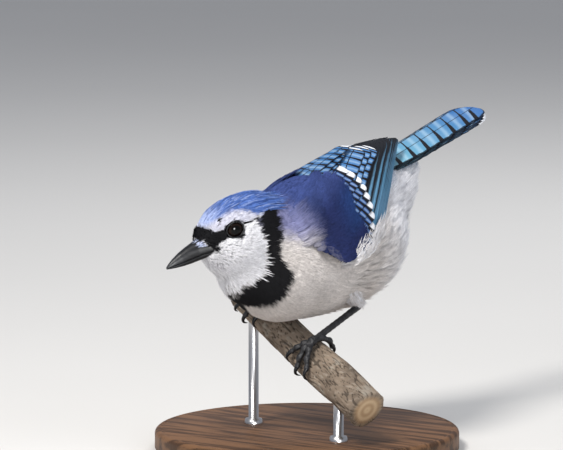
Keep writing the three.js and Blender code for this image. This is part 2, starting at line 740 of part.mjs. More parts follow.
const THIGH_LEAN = [[-3.5, -6, 12], [2, -13, 3]]; // left, right: from the heel to its top
const THIGH_RADII = [[7, 5.5, 2.4], [6.5, 5.5, 2.6]]; // left, right: at its top, half way and just above the heel
const THIGH_END = 0.05; // how far above the heel it ends, as a share of its length
const THIGH_SIDES = 12;

function thigh(which) {
  const heel = vec(HEEL[which]);
  const top = heel.clone().add(vec(THIGH_LEAN[which]));
  const middle = heel.clone().lerp(top, 0.5);
  const end = heel.clone().lerp(top, THIGH_END);
  return tube([top, middle, end], THIGH_RADII[which], THIGH_SIDES);
}

// The stand
const BASE_RADIUS = 75;
const BASE_THICK = 10;
const BASE_BEVEL = 2.5;
const BASE_SIDES = 48;
const ROD_RADIUS = 2.5;
const ROD_SIDES = 16;
const ROD_ALONG = [-30, 44]; // where each rod meets the perch
const floorZ = -BODY_HEIGHT;

function standBase() {
  const profile = [
    [0, 0],
    [BASE_RADIUS, 0],
    [BASE_RADIUS, BASE_THICK - BASE_BEVEL],
    [BASE_RADIUS - BASE_BEVEL, BASE_THICK],
    [0, BASE_THICK],
  ];
  const disc = new THREE.LatheGeometry(profile.map(([x, y]) => new THREE.Vector2(x, y)), BASE_SIDES);
  disc.rotateX(Math.PI / 2);
  return solid(disc.translate(0, -BASE_SHIFT, floorZ));
}

function standRod(which) {
  const top = perchPoint(ROD_ALONG[which], 0, 0);
  const foot = floorZ + BASE_THICK + GAP;
  const rod = new THREE.CylinderGeometry(ROD_RADIUS, ROD_RADIUS, top.z - foot, ROD_SIDES);
  rod.rotateX(Math.PI / 2);
  return solid(rod.translate(top.x, top.y, (top.z + foot) / 2));
}

const body = bodyShell(0);
const bodyClear = bodyShell(GAP);
const perch = perchShell(0);
const perchClear = perchShell(GAP);
const leftWing = wing().intersect(beyond({ at: [0, 0, 0], pitch: 0, turn: 90 }, 1, GAP / 2));
const rightWing = leftWing.mirror([1, 0, 0]);

const nape = beyond(NECK_FRONT, 1, GAP / 2);
const headAlone = body.intersect(beyond(NECK_FRONT, -1, GAP / 2));
const legs = joined([0, 1].flatMap((which) => [tarsus(which, GAP), foot(which, GAP)]));
const offPerch = (shape) => shape.subtract(perchClear).subtract(legs);
const neck = offPerch(body.intersect(nape).intersect(beyond(NECK_BACK, -1, GAP / 2)));
const sides = [1, -1];
const crestClear = crest().subtract(bodyClear.intersect(beyond(NECK_FRONT, 1, 0)));
let head = joined([headAlone, crestClear, ...sides.map(lids), ...sides.map(tufts)]);
for (const side of sides) head = head.subtract(eyeball(side, GAP)).subtract(billHalf(side, GAP));
const torso = offPerch(body.intersect(beyond(NECK_BACK, 1, GAP / 2)));

bird.position.set(0, BASE_SHIFT, BODY_HEIGHT);
const plumage = finish(colours.white, 0.9);
const blue = finish(colours.blue, 0.7);
const black = finish(colours.black, 0.5);
addPiece(bird, "torso", torso, plumage);
addPiece(bird, "neck", neck, plumage);
addPiece(bird, "head", head, finish(colours.crown, 0.8));
addPiece(bird, "wing_left", leftWing.subtract(bodyClear), blue);
addPiece(bird, "wing_right", rightWing.subtract(bodyClear), blue);
addPiece(bird, "tail", tail().subtract(bodyClear), blue);
addPiece(bird, "bill_upper", billHalf(1, 0), black);
addPiece(bird, "bill_lower", billHalf(-1, 0), black);
["left", "right"].forEach((name, which) => {
  addPiece(bird, `eye_${name}`, eyeball(sides[which], 0), finish(colours.eye, 0.1));
  addPiece(bird, `thigh_${name}`, offPerch(thigh(which).subtract(bodyClear)), plumage);
  addPiece(bird, `tarsus_${name}`, tarsus(which).subtract(foot(which, GAP)).subtract(perchClear), black);
  addPiece(bird, `foot_${name}`, foot(which), black);
  addPiece(bird, `stand_rod_${name}`, standRod(1 - which).subtract(perchClear), finish(colours.steel, 0.3, 1));
});
addPiece(bird, "perch_branch", perch, finish(colours.bark, 0.9));
addPiece(bird, "stand_base", standBase(), finish(colours.wood, 0.5));

export default bird;
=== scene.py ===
"""A life-size blue jay, crouched on a cut length of branch that two rods hold over a round base.

Sizes are in millimetres in the bird's own frame: it faces -Y, +X is its left, and its zero point is inside
its breast. make_mesh() moves them to the model's frame, in metres. Colours are linear.
"""

import math

import bpy
import numpy as np
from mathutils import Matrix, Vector

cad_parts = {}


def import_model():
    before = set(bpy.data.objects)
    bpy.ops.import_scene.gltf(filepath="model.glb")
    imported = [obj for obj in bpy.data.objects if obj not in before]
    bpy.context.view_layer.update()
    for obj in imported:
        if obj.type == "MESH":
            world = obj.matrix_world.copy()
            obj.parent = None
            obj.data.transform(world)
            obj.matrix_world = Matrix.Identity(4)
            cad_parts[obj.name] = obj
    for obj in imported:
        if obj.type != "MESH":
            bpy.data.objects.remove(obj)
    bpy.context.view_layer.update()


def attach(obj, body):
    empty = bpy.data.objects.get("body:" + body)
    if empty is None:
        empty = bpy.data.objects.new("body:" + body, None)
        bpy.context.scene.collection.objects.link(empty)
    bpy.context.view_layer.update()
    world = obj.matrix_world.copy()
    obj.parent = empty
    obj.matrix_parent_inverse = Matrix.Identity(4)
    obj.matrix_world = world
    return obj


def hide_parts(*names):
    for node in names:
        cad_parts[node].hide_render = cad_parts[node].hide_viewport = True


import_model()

BODY_HEIGHT = 100  # of the bird's zero point over the floor
BASE_SHIFT = -14  # and its place along Y from the base's middle
GAP = 0.3  # between the CAD model's solids that meet
BLEND = 3.2  # how softly the body's round forms run into each other
SIDES = ((1, "left"), (-1, "right"))
rng = np.random.default_rng(7)


# Turns, lines and the outline of the plumage


def rotation(pitch, turn):
    """Pitch lifts the tail end and turn is to the bird's right, in degrees."""
    a = math.radians(-turn)
    b = math.radians(pitch)
    about_z = np.array([[math.cos(a), -math.sin(a), 0], [math.sin(a), math.cos(a), 0], [0, 0, 1]])
    about_x = np.array([[1, 0, 0], [0, math.cos(b), -math.sin(b)], [0, math.sin(b), math.cos(b)]])
    return about_z @ about_x


def unit(vectors):
    return vectors / np.maximum(np.linalg.norm(vectors, axis=-1, keepdims=True), 1e-9)


def smooth(low, high, value):
    """0 below low, 1 above high, and a soft step between them."""
    t = np.clip((value - low) / (high - low), 0, 1)
    return t * t * (3 - 2 * t)


def read_off(table, value):
    """The second number of a table of pairs, at a value of the first."""
    return np.interp(value, *zip(*table))


def circle(steps):
    """Angles of points round a circle, in radians."""
    return np.linspace(0, 2 * math.pi, steps, endpoint=False)


def spline(points, t):
    """A smooth line through points, with t from 0 to 1."""
    p = np.array(points, float)
    ends = np.vstack([2 * p[0] - p[1], p, 2 * p[-1] - p[-2]])
    place = np.clip(t, 0, 1) * (len(p) - 1)
    i = np.minimum(len(p) - 2, np.floor(place).astype(int))
    w = (place - i)[..., None]
    a, b, c, d = ends[i], ends[i + 1], ends[i + 2], ends[i + 3]
    start = (c - a) / 2
    end = (d - b) / 2
    return b + start * w + (3 * (c - b) - 2 * start - end) * w**2 + (2 * (b - c) + start + end) * w**3


HEAD_CENTRE = np.array([-6, -38.5, 14.5])
HEAD_PITCH = 20
HEAD_TURN = 22
HEAD_FRAME = rotation(HEAD_PITCH, HEAD_TURN)
# Centre, radii, pitch and turn of the body's round forms
BODY_FORMS = [
    ((0, 15, 1), (29, 44, 29), 24, 0),
    ((0, 6, 10), (22, 29, 23.5), 22, 0),
    ((0, -13, -10), (23, 20, 22), 0, 0),
    ((0, 10, -12), (24, 28, 20.5), 4, 0),
    ((0, 41, -4), (31, 36, 25), 22, 0),
    ((0, 72, 14), (15, 22, 13), 32, 0),
    ((0, 52, 19), (19, 27, 14), 20, 0),
    ((0, 78, 26), (11, 23, 8), 18, 0),
    ((-3, -20, 6), (17, 18, 17), 10, 10),
    ((-4, -30, -7), (13, 12, 15), -24, 12),
]
# Centre and radii of the head's, in its own frame: x to its left, y back, z up
HEAD_FORMS = [
    ((0, -2.5, 0.5), (12.2, 15.5, 13)),
    ((0, -12, -2.5), (6.5, 7, 7)),
    ((6.5, 0, -7), (7.5, 11, 8)),
    ((-6.5, 0, -7), (7.5, 11, 8)),
    ((0, -8, -11), (7.5, 9, 7.5)),
    ((0, 10, 0.5), (11.5, 15, 11.5)),
]


def from_head(points):
    """Points in the bird's frame from points in the head's."""
    return np.asarray(points, float) @ HEAD_FRAME.T + HEAD_CENTRE


def to_head(points):
    """Points in the head's frame from points in the bird's."""
    return (points - HEAD_CENTRE) @ HEAD_FRAME


FORMS = [
    (np.array(at, float), rotation(pitch, turn), np.array(radii, float))
    for at, radii, pitch, turn in BODY_FORMS
]
FORMS += [(from_head(at), HEAD_FRAME, np.array(radii, float)) for at, radii in HEAD_FORMS]


def outside(points):
    """About how far points lie outside the plumage."""
    total = 0
    for centre, turn, radii in FORMS:
        q = ((points - centre) @ turn) / radii
        near = np.linalg.norm(q, axis=-1)
        steep = np.linalg.norm(q / radii, axis=-1) + 1e-9
        total = total + np.exp(-near * (near - 1) / steep / BLEND)
    return -BLEND * np.log(total)


def outward(points):
    """The way out of the plumage at points."""
    step = 0.05
    here = outside(points)
    rise = [outside(points + step * axis) - here for axis in np.eye(3)]
    return unit(np.stack(rise, -1))


def settle(points, height, rounds=4):
    """Points brought to a height over the plumage."""
    for _ in range(rounds):
        points = points + outward(points) * (height - outside(points))[..., None]
    return points


def world(points):
    """Places in the model's frame, in metres."""
    return (np.asarray(points, float) + [0, BASE_SHIFT, BODY_HEIGHT]) / 1000


# Meshes


def outwards(points, faces):
    """Faces of closed forms, turned round where they look inwards."""
    volume = 0
    for group in faces:
        a = points[group[:, 0]]
        for k in range(1, group.shape[1] - 1):
            volume += (a * np.cross(points[group[:, k]], points[group[:, k + 1]])).sum()
    return faces if volume > 0 else [group[:, ::-1] for group in faces]


BAKE_MARGIN = 0.02  # left free round the baking map
UNWRAP = 0.96  # and the share of it that an unwrapped form takes


def make_mesh(name, points, faces, material, patches=None, soft=True, **values):
    """A piece from points in mm.

    patches are the points' places on the baking map, and values named numbers for each point. A face that
    lies over the map's seam has its corners brought to one side of it.
    """
    mesh = bpy.data.meshes.new(name)
    faces = outwards(points, [np.asarray(group) for group in faces])
    points = world(points)
    mesh.vertices.add(len(points))
    mesh.vertices.foreach_set("co", points.ravel())
    flat = np.concatenate([group.astype(np.int32).ravel() for group in faces])
    sizes = np.concatenate([np.full(len(group), group.shape[1]) for group in faces])
    mesh.loops.add(len(flat))
    mesh.loops.foreach_set("vertex_index", flat)
    mesh.polygons.add(len(sizes))
    mesh.polygons.foreach_set("loop_start", np.concatenate([[0], np.cumsum(sizes)[:-1]]).astype(np.int32))
    mesh.update(calc_edges=True)
    if soft:
        mesh.shade_smooth()
    else:
        mesh.shade_flat()
    if patches is not None:
        spots = [patches[group] for group in faces]
        for corners in spots:
            over_seam = np.ptp(corners[..., 0], axis=1) > 0.5
            corners[..., 0] += UNWRAP * (over_seam[:, None] & (corners[..., 0] < 0.5))
        spots = np.concatenate([corners.reshape(-1, 2) for corners in spots])
        layer = mesh.uv_layers.new(name="OFBake")
        layer.data.foreach_set("uv", spots.astype(np.float32).ravel())
    for key, value in values.items():
        width = 1 if value.ndim == 1 else value.shape[1]
        kind = {1: "FLOAT", 3: "FLOAT_VECTOR"}[width]
        layer = mesh.attributes.new(key, kind, "POINT")
        layer.data.foreach_set("value" if width == 1 else "vector", value.astype(np.float32).ravel())
    mesh.materials.append(material)
    piece = bpy.data.objects.new(name, mesh)
    bpy.context.scene.collection.objects.link(piece)
    return piece


def place(piece, slot, *nodes):
    """The piece rides with the model and stands for CAD nodes. slot is not used."""
    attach(piece, "root")
    if nodes:
        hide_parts(*nodes)


def ring_faces(rings, sides):
    """Quads between rings of points that run one way round."""
    r, k = np.meshgrid(np.arange(rings - 1), np.arange(sides), indexing="ij")
    a = r * sides + k
    b = r * sides + (k + 1) % sides
    return np.stack([a, b, b + sides, a + sides], -1).reshape(-1, 4)


def lofted(rings):
    """Points and faces of a closed loft: rings is (rings, sides, 3), and each end is a fan."""
    count, sides, _ = rings.shape
    points = np.concatenate([rings.reshape(-1, 3), rings[0].mean(0)[None], rings[-1].mean(0)[None]])
    k = np.arange(sides)
    following = (k + 1) % sides
    end = (count - 1) * sides
    first = np.stack([np.full(sides, count * sides), following, k], -1)
    last = np.stack([np.full(sides, count * sides + 1), end + k, end + following], -1)
    return points, [ring_faces(count, sides), first, last]


def gathered(lofts):
    """Points and faces of several lofts as one mesh's."""
    starts = np.cumsum([0] + [len(points) for points, _ in lofts])
    quads = [faces[0] + start for (_, faces), start in zip(lofts, starts)]
    fans = [fan + start for (_, faces), start in zip(lofts, starts) for fan in faces[1:]]
    return np.concatenate([points for points, _ in lofts]), [np.concatenate(quads), np.concatenate(fans)]


def bake_spots(row, column, rows, columns):
    """Places on the baking map for places on a loft of rows and columns."""
    return np.stack([BAKE_MARGIN + UNWRAP * column / columns, BAKE_MARGIN + UNWRAP * row / (rows - 1)], -1)


def unwrap(rings):
    """Places on the baking map for the points of a loft, with its two fans' middles last."""
    count, sides, _ = rings.shape
    row, column = np.meshgrid(np.arange(count), np.arange(sides), indexing="ij")
    spots = bake_spots(row, column, count, sides)
    return np.concatenate([spots.reshape(-1, 2), [[0.5, 0.005], [0.5, 0.995]]])


# Materials, written as sums of nodes


def feed(tree, socket, item):
    """Sets a node's input to a number or a colour, or links a Value or another node's output to it."""
    if isinstance(item, (int, float)):
        socket.default_value = item
    elif isinstance(item, tuple):
        socket.default_value = (*item, 1)
    else:
        tree.links.new(item.socket if isinstance(item, Value) else item, socket)


class Value:
    """A number in a shader, so that formulas read as they do elsewhere."""

    def __init__(self, tree, socket):
        self.tree = tree
        self.socket = socket

    def math(self, operation, *others):
        node = self.tree.nodes.new("ShaderNodeMath")
        node.operation = operation
        for socket, item in zip(node.inputs, (self, *others)):
            feed(self.tree, socket, item)
        return Value(self.tree, node.outputs[0])

    def __add__(self, other):
        return self.math("ADD", other)

    def __sub__(self, other):
        return self.math("SUBTRACT", other)

    def __mul__(self, other):
        return self.math("MULTIPLY", other)

    def __truediv__(self, other):
        return self.math("DIVIDE", other)

    def step(self, low, high):
        """0 at low and 1 at high, softly, and the other way round where low is the larger."""
        node = self.tree.nodes.new("ShaderNodeMapRange")
        node.interpolation_type = "SMOOTHSTEP"
        for key, item in (("Value", self), ("From Min", low), ("From Max", high)):
            feed(self.tree, node.inputs[key], item)
        return Value(self.tree, node.outputs[0])


class Shader:
    """A material, its tree and its surface."""

    def __init__(self, name, roughness, **settings):
        self.material = bpy.data.materials.new(name)
        self.material.use_nodes = True
        self.tree = self.material.node_tree
        self.surface = self.tree.nodes["Principled BSDF"]
        self.surface.inputs["Roughness"].default_value = roughness
        for key, value in settings.items():
            self.surface.inputs[key.replace("_", " ")].default_value = value

    def attribute(self, name):
        node = self.tree.nodes.new("ShaderNodeAttribute")
        node.attribute_name = name
        return node

    def number(self, name):
        return Value(self.tree, self.attribute(name).outputs["Fac"])

    def numbers(self, name):
        split = self.tree.nodes.new("ShaderNodeSeparateXYZ")
        self.tree.links.new(self.attribute(name).outputs["Vector"], split.inputs[0])
        return [Value(self.tree, split.outputs[i]) for i in range(3)]

    def noise(self, scale, detail=3, stretch=(1, 1, 1)):
        """Noise over the place on the object, in metres."""
        mapping = self.tree.nodes.new("ShaderNodeMapping")
        mapping.inputs["Scale"].default_value = stretch
        spot = self.tree.nodes.new("ShaderNodeTexCoord").outputs["Object"]
        self.tree.links.new(spot, mapping.inputs["Vector"])
        node = self.tree.nodes.new("ShaderNodeTexNoise")
        node.inputs["Scale"].default_value = scale
        node.inputs["Detail"].default_value = detail
        self.tree.links.new(mapping.outputs[0], node.inputs["Vector"])
        return Value(self.tree, node.outputs["Fac"])

    def mix(self, a, b, share, kind="MIX"):
        """Colours a and b, each a colour or a socket, mixed by a share."""
        node = self.tree.nodes.new("ShaderNodeMix")
        node.data_type = "RGBA"
        node.blend_type = kind
        for i, item in ((6, a), (7, b), (0, share)):
            feed(self.tree, node.inputs[i], item)
        return node.outputs[2]

    def colour(self, socket):
        self.tree.links.new(socket, self.surface.inputs["Base Color"])

    def rough(self, value):
        self.tree.links.new(value.socket, self.surface.inputs["Roughness"])

    def bump(self, height, strength, distance=0.0003):
        node = self.tree.nodes.new("ShaderNodeBump")
        node.inputs["Strength"].default_value = strength
        node.inputs["Distance"].default_value = distance
        self.tree.links.new(height.socket, node.inputs["Height"])
        self.tree.links.new(node.outputs[0], self.surface.inputs["Normal"])


def linear(red, green, blue):
    """A linear colour from 0-255 display values."""
    c = np.array([red, green, blue]) / 255
    return np.where(c <= 0.04045, c / 12.92, ((c + 0.055) / 1.055) ** 2.4)


# The bird's colours
WHITE = linear(232, 232, 236)
WARM = linear(214, 208, 204)
GREY = linear(176, 174, 182)
LAVENDER = linear(134, 136, 176)
BLACK = linear(14, 14, 18)
CROWN = linear(76, 106, 172)
PALE = linear(184, 198, 234)
DUSK = linear(44, 66, 128)
MANTLE = linear(57, 72, 126)
NAVY = linear(30, 40, 84)
COVERT = linear(44, 90, 160)
RUMP = linear(112, 146, 186)
STREAK = linear(98, 158, 196)
DEEP = linear(60, 116, 172)
AZURE = linear(124, 184, 200)
TAIL_BLUE = linear(34, 98, 166)


def blend(a, b, share):
    """Points or colours a share of the way from a to b."""
    share = np.asarray(share)[..., None]
    return a * (1 - share) + b * share


# Markings. Roll is the angle round the head's own axis from its crown, in degrees. The collar's front and
# rear edges are how far back they lie at each roll, in mm in the head's frame.
COLLAR_ROLL = [0, 55, 66, 74, 86, 107, 125, 140, 148, 155, 162, 180]
COLLAR_FRONT = [24, 19, 13, 9, 7, 7, 6, 3.5, 1, -5.5, -9.5, -13]
COLLAR_REAR_ROLL = [0, 58, 92, 116, 127, 133, 140, 146, 152, 160, 167, 180]
COLLAR_REAR = [26, 22, 19.5, 17.7, 15.8, 12, 10.5, 13.6, 9.5, 4.2, 0, -8]
# The crown's lower edge in the head's frame, and the lower edge of the body's blue in the bird's: back, up
BROW_TOP = [
    (-21, 6), (-12, 9), (-5, 11), (0, 10.6), (4, 8.8), (7, 5.6), (12, 4.2), (22, 4.2), (28, -8), (40, -20),
]
BLUE_LEVEL = [(-45, 16), (-20, 8), (0, 4), (45, 20), (69, 32), (81, 38), (100, 46)]
# The upper and lower edges of the black between the bill and the eye: left, up
LORE_TOP = [(0, 8), (2.1, 7.9), (5.8, 7), (9.4, 4.8), (12.5, 4.5)]
LORE_LOW = [(0, 3.2), (6, 2.6), (7, -0.6), (9.4, -0.9), (11.9, 0.9), (12.6, 2.1)]
LORE_BACK = -8.6  # and how far back the black reaches

EYE_AT = np.array([9, -4, 2.8])
EYE_RADIUS = 5
EYE_LOOK = unit(np.array([0.96, -0.25, 0.1]))
LID_HALF = (4.3, 3.75)  # half the lids' opening, across and up
FAR = 9  # a distance that counts as far from any marking


def eye_distance(head_points):
    """How far round the nearer eye points in the head's frame lie, as shares of the lids' opening."""
    p = head_points * [0, 1, 1] + np.abs(head_points[..., :1]) * [1, 0, 0] - EYE_AT
    across = unit(np.cross([0, 0, 1], EYE_LOOK))
    over = np.cross(EYE_LOOK, across)
    near = np.hypot(p @ across / LID_HALF[0], p @ over / LID_HALF[1])
    return np.where(np.abs(head_points[..., 0]) < 5, FAR, near)


def lore(h):
    """How far inside the black between the bill and the eye points in the head's frame lie, in mm."""
    x = np.abs(h[:, 0])
    top = read_off(LORE_TOP, x) - h[:, 2]
    low = h[:, 2] - read_off(LORE_LOW, x)
    return np.minimum(np.minimum(top, low), LORE_BACK - h[:, 1])


def gape_distance(h):
    """How far points in the head's frame are from the mouth's corner, as shares of its black's reach."""
    x, y, z = np.abs(h[..., 0]), h[..., 1], h[..., 2]
    reach = np.hypot((y + 18) / 3.1, (z + 2.6 - 0.14 * (y + 18)) / (1.8 + 0.42 * np.clip(-16 - y, 0, 3)))
    return np.where((x > 3) & (x < 11), reach, FAR)


def markings(points, wobble=0.0):
    """The colour of the coat at points; wobble moves its edges, in mm."""
    h = to_head(points)
    x, y, z = np.abs(h[:, 0]), h[:, 1] + wobble, h[:, 2] + 0.5 * wobble
    roll = np.degrees(np.arctan2(x, z))
    by, bz = points[:, 1] + wobble, points[:, 2] + 0.5 * wobble

    # The body: blue above and behind, pale below
    level = read_off(BLUE_LEVEL, by)
    level = level - 16 * smooth(15, 5, np.abs(points[:, 0])) * smooth(38, 58, by)
    blue = smooth(-3.5, 7, bz - level)
    back = blend(LAVENDER, MANTLE, smooth(-22, -3, by + 0.7 * (bz - 18)))
    back = blend(back, RUMP, smooth(36, 58, by))
    pale = blend(WARM, WHITE, smooth(25, 60, by))
    pale = blend(pale, GREY, 0.5 * smooth(-8, 6, bz - level) * (1 - smooth(10, 30, by)))
    colour = blend(pale, back, blue)

    # The head: crown, brow, cheek and the black lores
    front = np.interp(roll, COLLAR_ROLL, COLLAR_FRONT)
    rear = np.interp(roll, COLLAR_REAR_ROLL, COLLAR_REAR)
    crown = smooth(-1.2, 1.6, z - read_off(BROW_TOP, y))
    crown_colour = blend(PALE, CROWN, smooth(-18, -6, y))
    head = blend(WHITE, GREY, 0.35 * smooth(-4, -12, z) * smooth(-10, -18, y))
    head = blend(head, blend(WHITE, LAVENDER, 0.4), smooth(3, 6, z))
    head = blend(head, crown_colour, crown)
    eye_line = smooth(0.9, 0.3, np.abs(z - 3.9)) * smooth(-2, 0, y) * smooth(8.5, 6.5, y) * (x > 10)
    under_eye = 0.75 * smooth(0.5, 0.1, np.abs(z + 0.3 * (y + 9.7) - 1.1)) * smooth(-11, -9, y)
    under_eye = under_eye * smooth(-2, -4, y) * (x > 11)
    mark = smooth(1, 0.4, np.abs(y + 9.6)) * smooth(7, 8, z) * smooth(10.8, 9.8, z)
    mark = mark * smooth(1.3, 0.8, np.abs(x - 7.4))
    moved = np.stack([x, y, z], -1)
    black = smooth(-0.3, 0.5, lore(moved)) + smooth(1.15, 0.85, gape_distance(moved))
    black = black + smooth(1.25, 1.12, eye_distance(h))
    head = blend(head, BLACK, np.clip(black + eye_line + under_eye + mark, 0, 1))
    in_front = smooth(0.8, -0.8, y - front)
    collar = (1 - in_front) * smooth(1.0, -1.0, y - rear)
    collar = collar * (1 - smooth(3, 5, z - np.interp(y, [0, 10, 22], [12, 7, 5])))
    nape = smooth(26, 30, y) * crown
    head = blend(head, colour, nape)
    is_head = np.clip(in_front + smooth(50, 40, roll) * smooth(34, 28, y) * (z > 0), 0, 1)
    colour = blend(colour, head, is_head)
    return blend(colour, BLACK, collar)


def feather_material(name, roughness=0.75):
    """Soft plumage in the colour that its points carry."""
    m = Shader(name, roughness, Specular_IOR_Level=0.12)
    shade = m.noise(900, 2).step(0.3, 0.7) * 0.14 + 0.92
    node = m.tree.nodes.new("ShaderNodeVectorMath")
    node.operation = "SCALE"
    m.tree.links.new(m.attribute("tone").outputs["Vector"], node.inputs[0])
    m.tree.links.new(shade.socket, node.inputs["Scale"])
    m.colour(node.outputs[0])
    return m.material


# The skin: one closed form under the coat, from rings about a line inside the body
BODY_LINE = [from_head((0, -12, -3)), (-3.5, -24, 7), (0, 14, 2), (0, 46, 12), (0, 88, 29)]
BODY_PITCHES = [4, 0, 8, 16, 18]
BODY_TURNS = [22, 14, 0, 0, 0]
SKIN_RINGS = 130
FAN_RINGS = 24  # that round off each end
FAN_LEAN = 86  # how far the outermost of them lean, in degrees
SKIN_SIDES = 112
SKIN_ROUNDS = (50, 12)  # of the search for the plumage's outline, and then for the skin's depth
SKIN_PACE = 0.8
GAPE_SUNK = 1.5
EYE_SUNK = 3.5
# Painted shade: the skin under the coat, and the thighs' skin, are darker by SKIN_SHADE
SKIN_SHADE = 0.8  # the skin is darker than the coat over it


def coat_depth(points):
    """How far the skin lies under the plumage's outline: least at the face, most at the eyes."""
    h = to_head(points)
    depth = np.interp(h[..., 1], [-20, -12, 5, 30, 60], [0.5, 0.7, 1.3, 2.2, 2.4])
    depth = depth + GAPE_SUNK * smooth(1.2, 0.6, gape_distance(h))
    return depth + EYE_SUNK * smooth(1.2, 0.9, eye_distance(h))


def skin_rings():
    """Rings of the skin, found along rays from the line inside the body."""
    u = np.concatenate([np.zeros(FAN_RINGS), np.linspace(0, 1, SKIN_RINGS), np.ones(FAN_RINGS)])
    lean = np.linspace(-FAN_LEAN, 0, FAN_RINGS + 1)[:-1]
    fan = np.radians(np.concatenate([lean, np.zeros(SKIN_RINGS), -lean[::-1]]))
    knots = np.linspace(0, 1, len(BODY_LINE))
    start = spline(BODY_LINE, u)[:, None, :]
    angle = circle(SKIN_SIDES) - math.pi / 2
    rays = np.empty((len(u), SKIN_SIDES, 3))
    for i, (share, tilt) in enumerate(zip(u, fan)):
        turn = rotation(np.interp(share, knots, BODY_PITCHES), np.interp(share, knots, BODY_TURNS))
        level = math.cos(tilt)
        back = np.full(SKIN_SIDES, math.sin(tilt))
        flat = np.stack([np.cos(angle) * level, back, np.sin(angle) * level], -1)
        rays[i] = flat @ turn.T
    distance = np.zeros(rays.shape[:2])
    depth = 0
    for rounds in SKIN_ROUNDS:
        for _ in range(rounds):
            distance += SKIN_PACE * (-depth - outside(start + rays * distance[..., None]))
        depth = coat_depth(start + rays * distance[..., None])
    return start + rays * distance[..., None]


SKIN = skin_rings()


def skin_patch(rows, columns):
    """The place on the baking map of a place on the skin."""
    return bake_spots(rows, columns, len(SKIN), SKIN_SIDES)


def make_skin():
    """The skin of the head, the neck and the body."""
    points, faces = lofted(SKIN)
    # painted shade under the coat
    tone = markings(points) * SKIN_SHADE
    piece = make_mesh("plumage_skin", points, faces, COAT, unwrap(SKIN), tone=tone)
    place(piece, "plumage", "torso", "neck", "head")


# Tufts of the coat. Each is a small feather of tapering strands that lie along the body.
TRIANGLE_LIMIT = 190000  # in one piece of the coat
PATCH = 0.003  # a tuft's size on the baking map
LINE = np.linspace(0, 1, 4)  # the stations of a tuft's middle line
# Painted shade: ROOT_SHADE darkens the strands at their roots, under the tufts that lie over them
ROOT_SHADE = 0.85  # strands are darker at their roots
STRAND_VARY = 0.07  # and vary a little in brightness


def lay(roots, ways, ups, lengths, rise, lift, ease=0.8):
    """Middle lines of tufts along the plumage, at a height of rise at the root and lift at the tip."""
    lines = []
    for t in LINE:
        middle = roots + ways * (lengths * t)[:, None]
        lines.append(settle(middle, rise + (lift - rise) * t**ease, 2))
    return np.array(lines)


def along_lines(lines, t):
    """The places a share t along lines of points."""
    at = np.clip(t, 0, 1) * (len(lines) - 1)
    i = np.minimum(at.astype(int), len(lines) - 2)
    k = np.arange(lines.shape[1])
    return lines[i, k] + (lines[i + 1, k] - lines[i, k]) * (at - i)[:, None]


def make_tufts(name, lines, ups, widths, tones, patches, strands, fine, steps=3, point=0.3):
    """Tufts along middle lines.

    strands is how many each tuft has, fine their width in mm, steps their stations, and point how much the
    tuft narrows to its tip. tones are the tufts' colours and patches their places on the baking map.
    """
    count = lines.shape[1]
    sides = unit(np.cross(unit(lines[-1] - lines[0]), ups))
    per = 3 * (steps - 1) + 1
    points = np.empty((count, strands, per, 3))
    shade = np.empty((count, strands, per))
    spots = np.zeros((strands, per, 2))
    for j in range(strands):
        across = 2 * (j + 0.5) / strands - 1
        where = across + rng.normal(0, 0.5 / strands, count)
        reach = 1 - point * across**2 + rng.uniform(-0.16, 0.04, count)
        light = rng.normal(1, STRAND_VARY, count)
        for k in range(steps):
            t = k / (steps - 1)
            middle = along_lines(lines, t * reach)
            spread = where * widths / 2 * (0.4 + 0.6 * min(1, t * 1.8)) * (1 - point * t**2)
            middle = middle + sides * spread[:, None] - ups * (0.07 * widths * across**2)[:, None]
            spots[j, 3 * k : 3 * k + 3] = (across * 0.45, t * 0.9)
            if k == steps - 1:
                points[:, j, -1] = middle
                shade[:, j, -1] = light
                continue
            half = fine * (0.5 if k else 0.4)
            points[:, j, 3 * k] = middle - sides * half
            points[:, j, 3 * k + 1] = middle + sides * half
            points[:, j, 3 * k + 2] = middle + ups * fine * 0.14
            # the root station takes the painted shade
            shade[:, j, 3 * k : 3 * k + 3] = (light * (ROOT_SHADE if k == 0 else 1))[:, None]
    strip = [[0, 1, 2]]
    for k in range(steps - 2):
        for a in range(3):
            b = (a + 1) % 3
            strip += [[3 * k + b, 3 * k + a, 3 * k + a + 3], [3 * k + b, 3 * k + a + 3, 3 * k + b + 3]]
    last = 3 * (steps - 2)
    strip += [[last + 1, last, per - 1], [last + 2, last + 1, per - 1], [last, last + 2, per - 1]]
    strip = np.array(strip)
    tone = np.clip(tones[:, None, None, :] * shade[..., None], 0, 1)
    spots = patches[:, None, None, :] + spots[None] * PATCH
    parts = max(1, math.ceil(count * strands * len(strip) / TRIANGLE_LIMIT))
    for number, chosen in enumerate(np.array_split(np.arange(count), parts)):
        faces = (np.arange(len(chosen) * strands)[:, None, None] * per + strip[None]).reshape(-1, 3)
        piece = make_mesh(
            f"{name}_{number + 1}" if parts > 1 else name,
            points[chosen].reshape(-1, 3),
            [faces],
            COAT,
            spots[chosen].reshape(-1, 2),
            soft=False,
            tone=tone[chosen].reshape(-1, 3),
        )
        place(piece, "plumage")


def skin_samples(density):
    """Seeded places on the skin, as rows and columns, with density(points) of them to each square mm."""
    following = np.roll(SKIN, -1, axis=1)
    cross = np.cross(SKIN[1:] - SKIN[:-1], following[:-1] - SKIN[:-1])
    area = np.linalg.norm(cross, axis=-1)
    middle = (SKIN[:-1] + SKIN[1:]) / 2
    weight = area * density(middle.reshape(-1, 3)).reshape(area.shape)
    count = int(weight.sum())
    chosen = rng.choice(weight.size, count, p=(weight / weight.sum()).ravel())
    rows = chosen // SKIN_SIDES + rng.uniform(0, 1, count)
    columns = chosen % SKIN_SIDES + rng.uniform(0, 1, count)
    return rows, columns


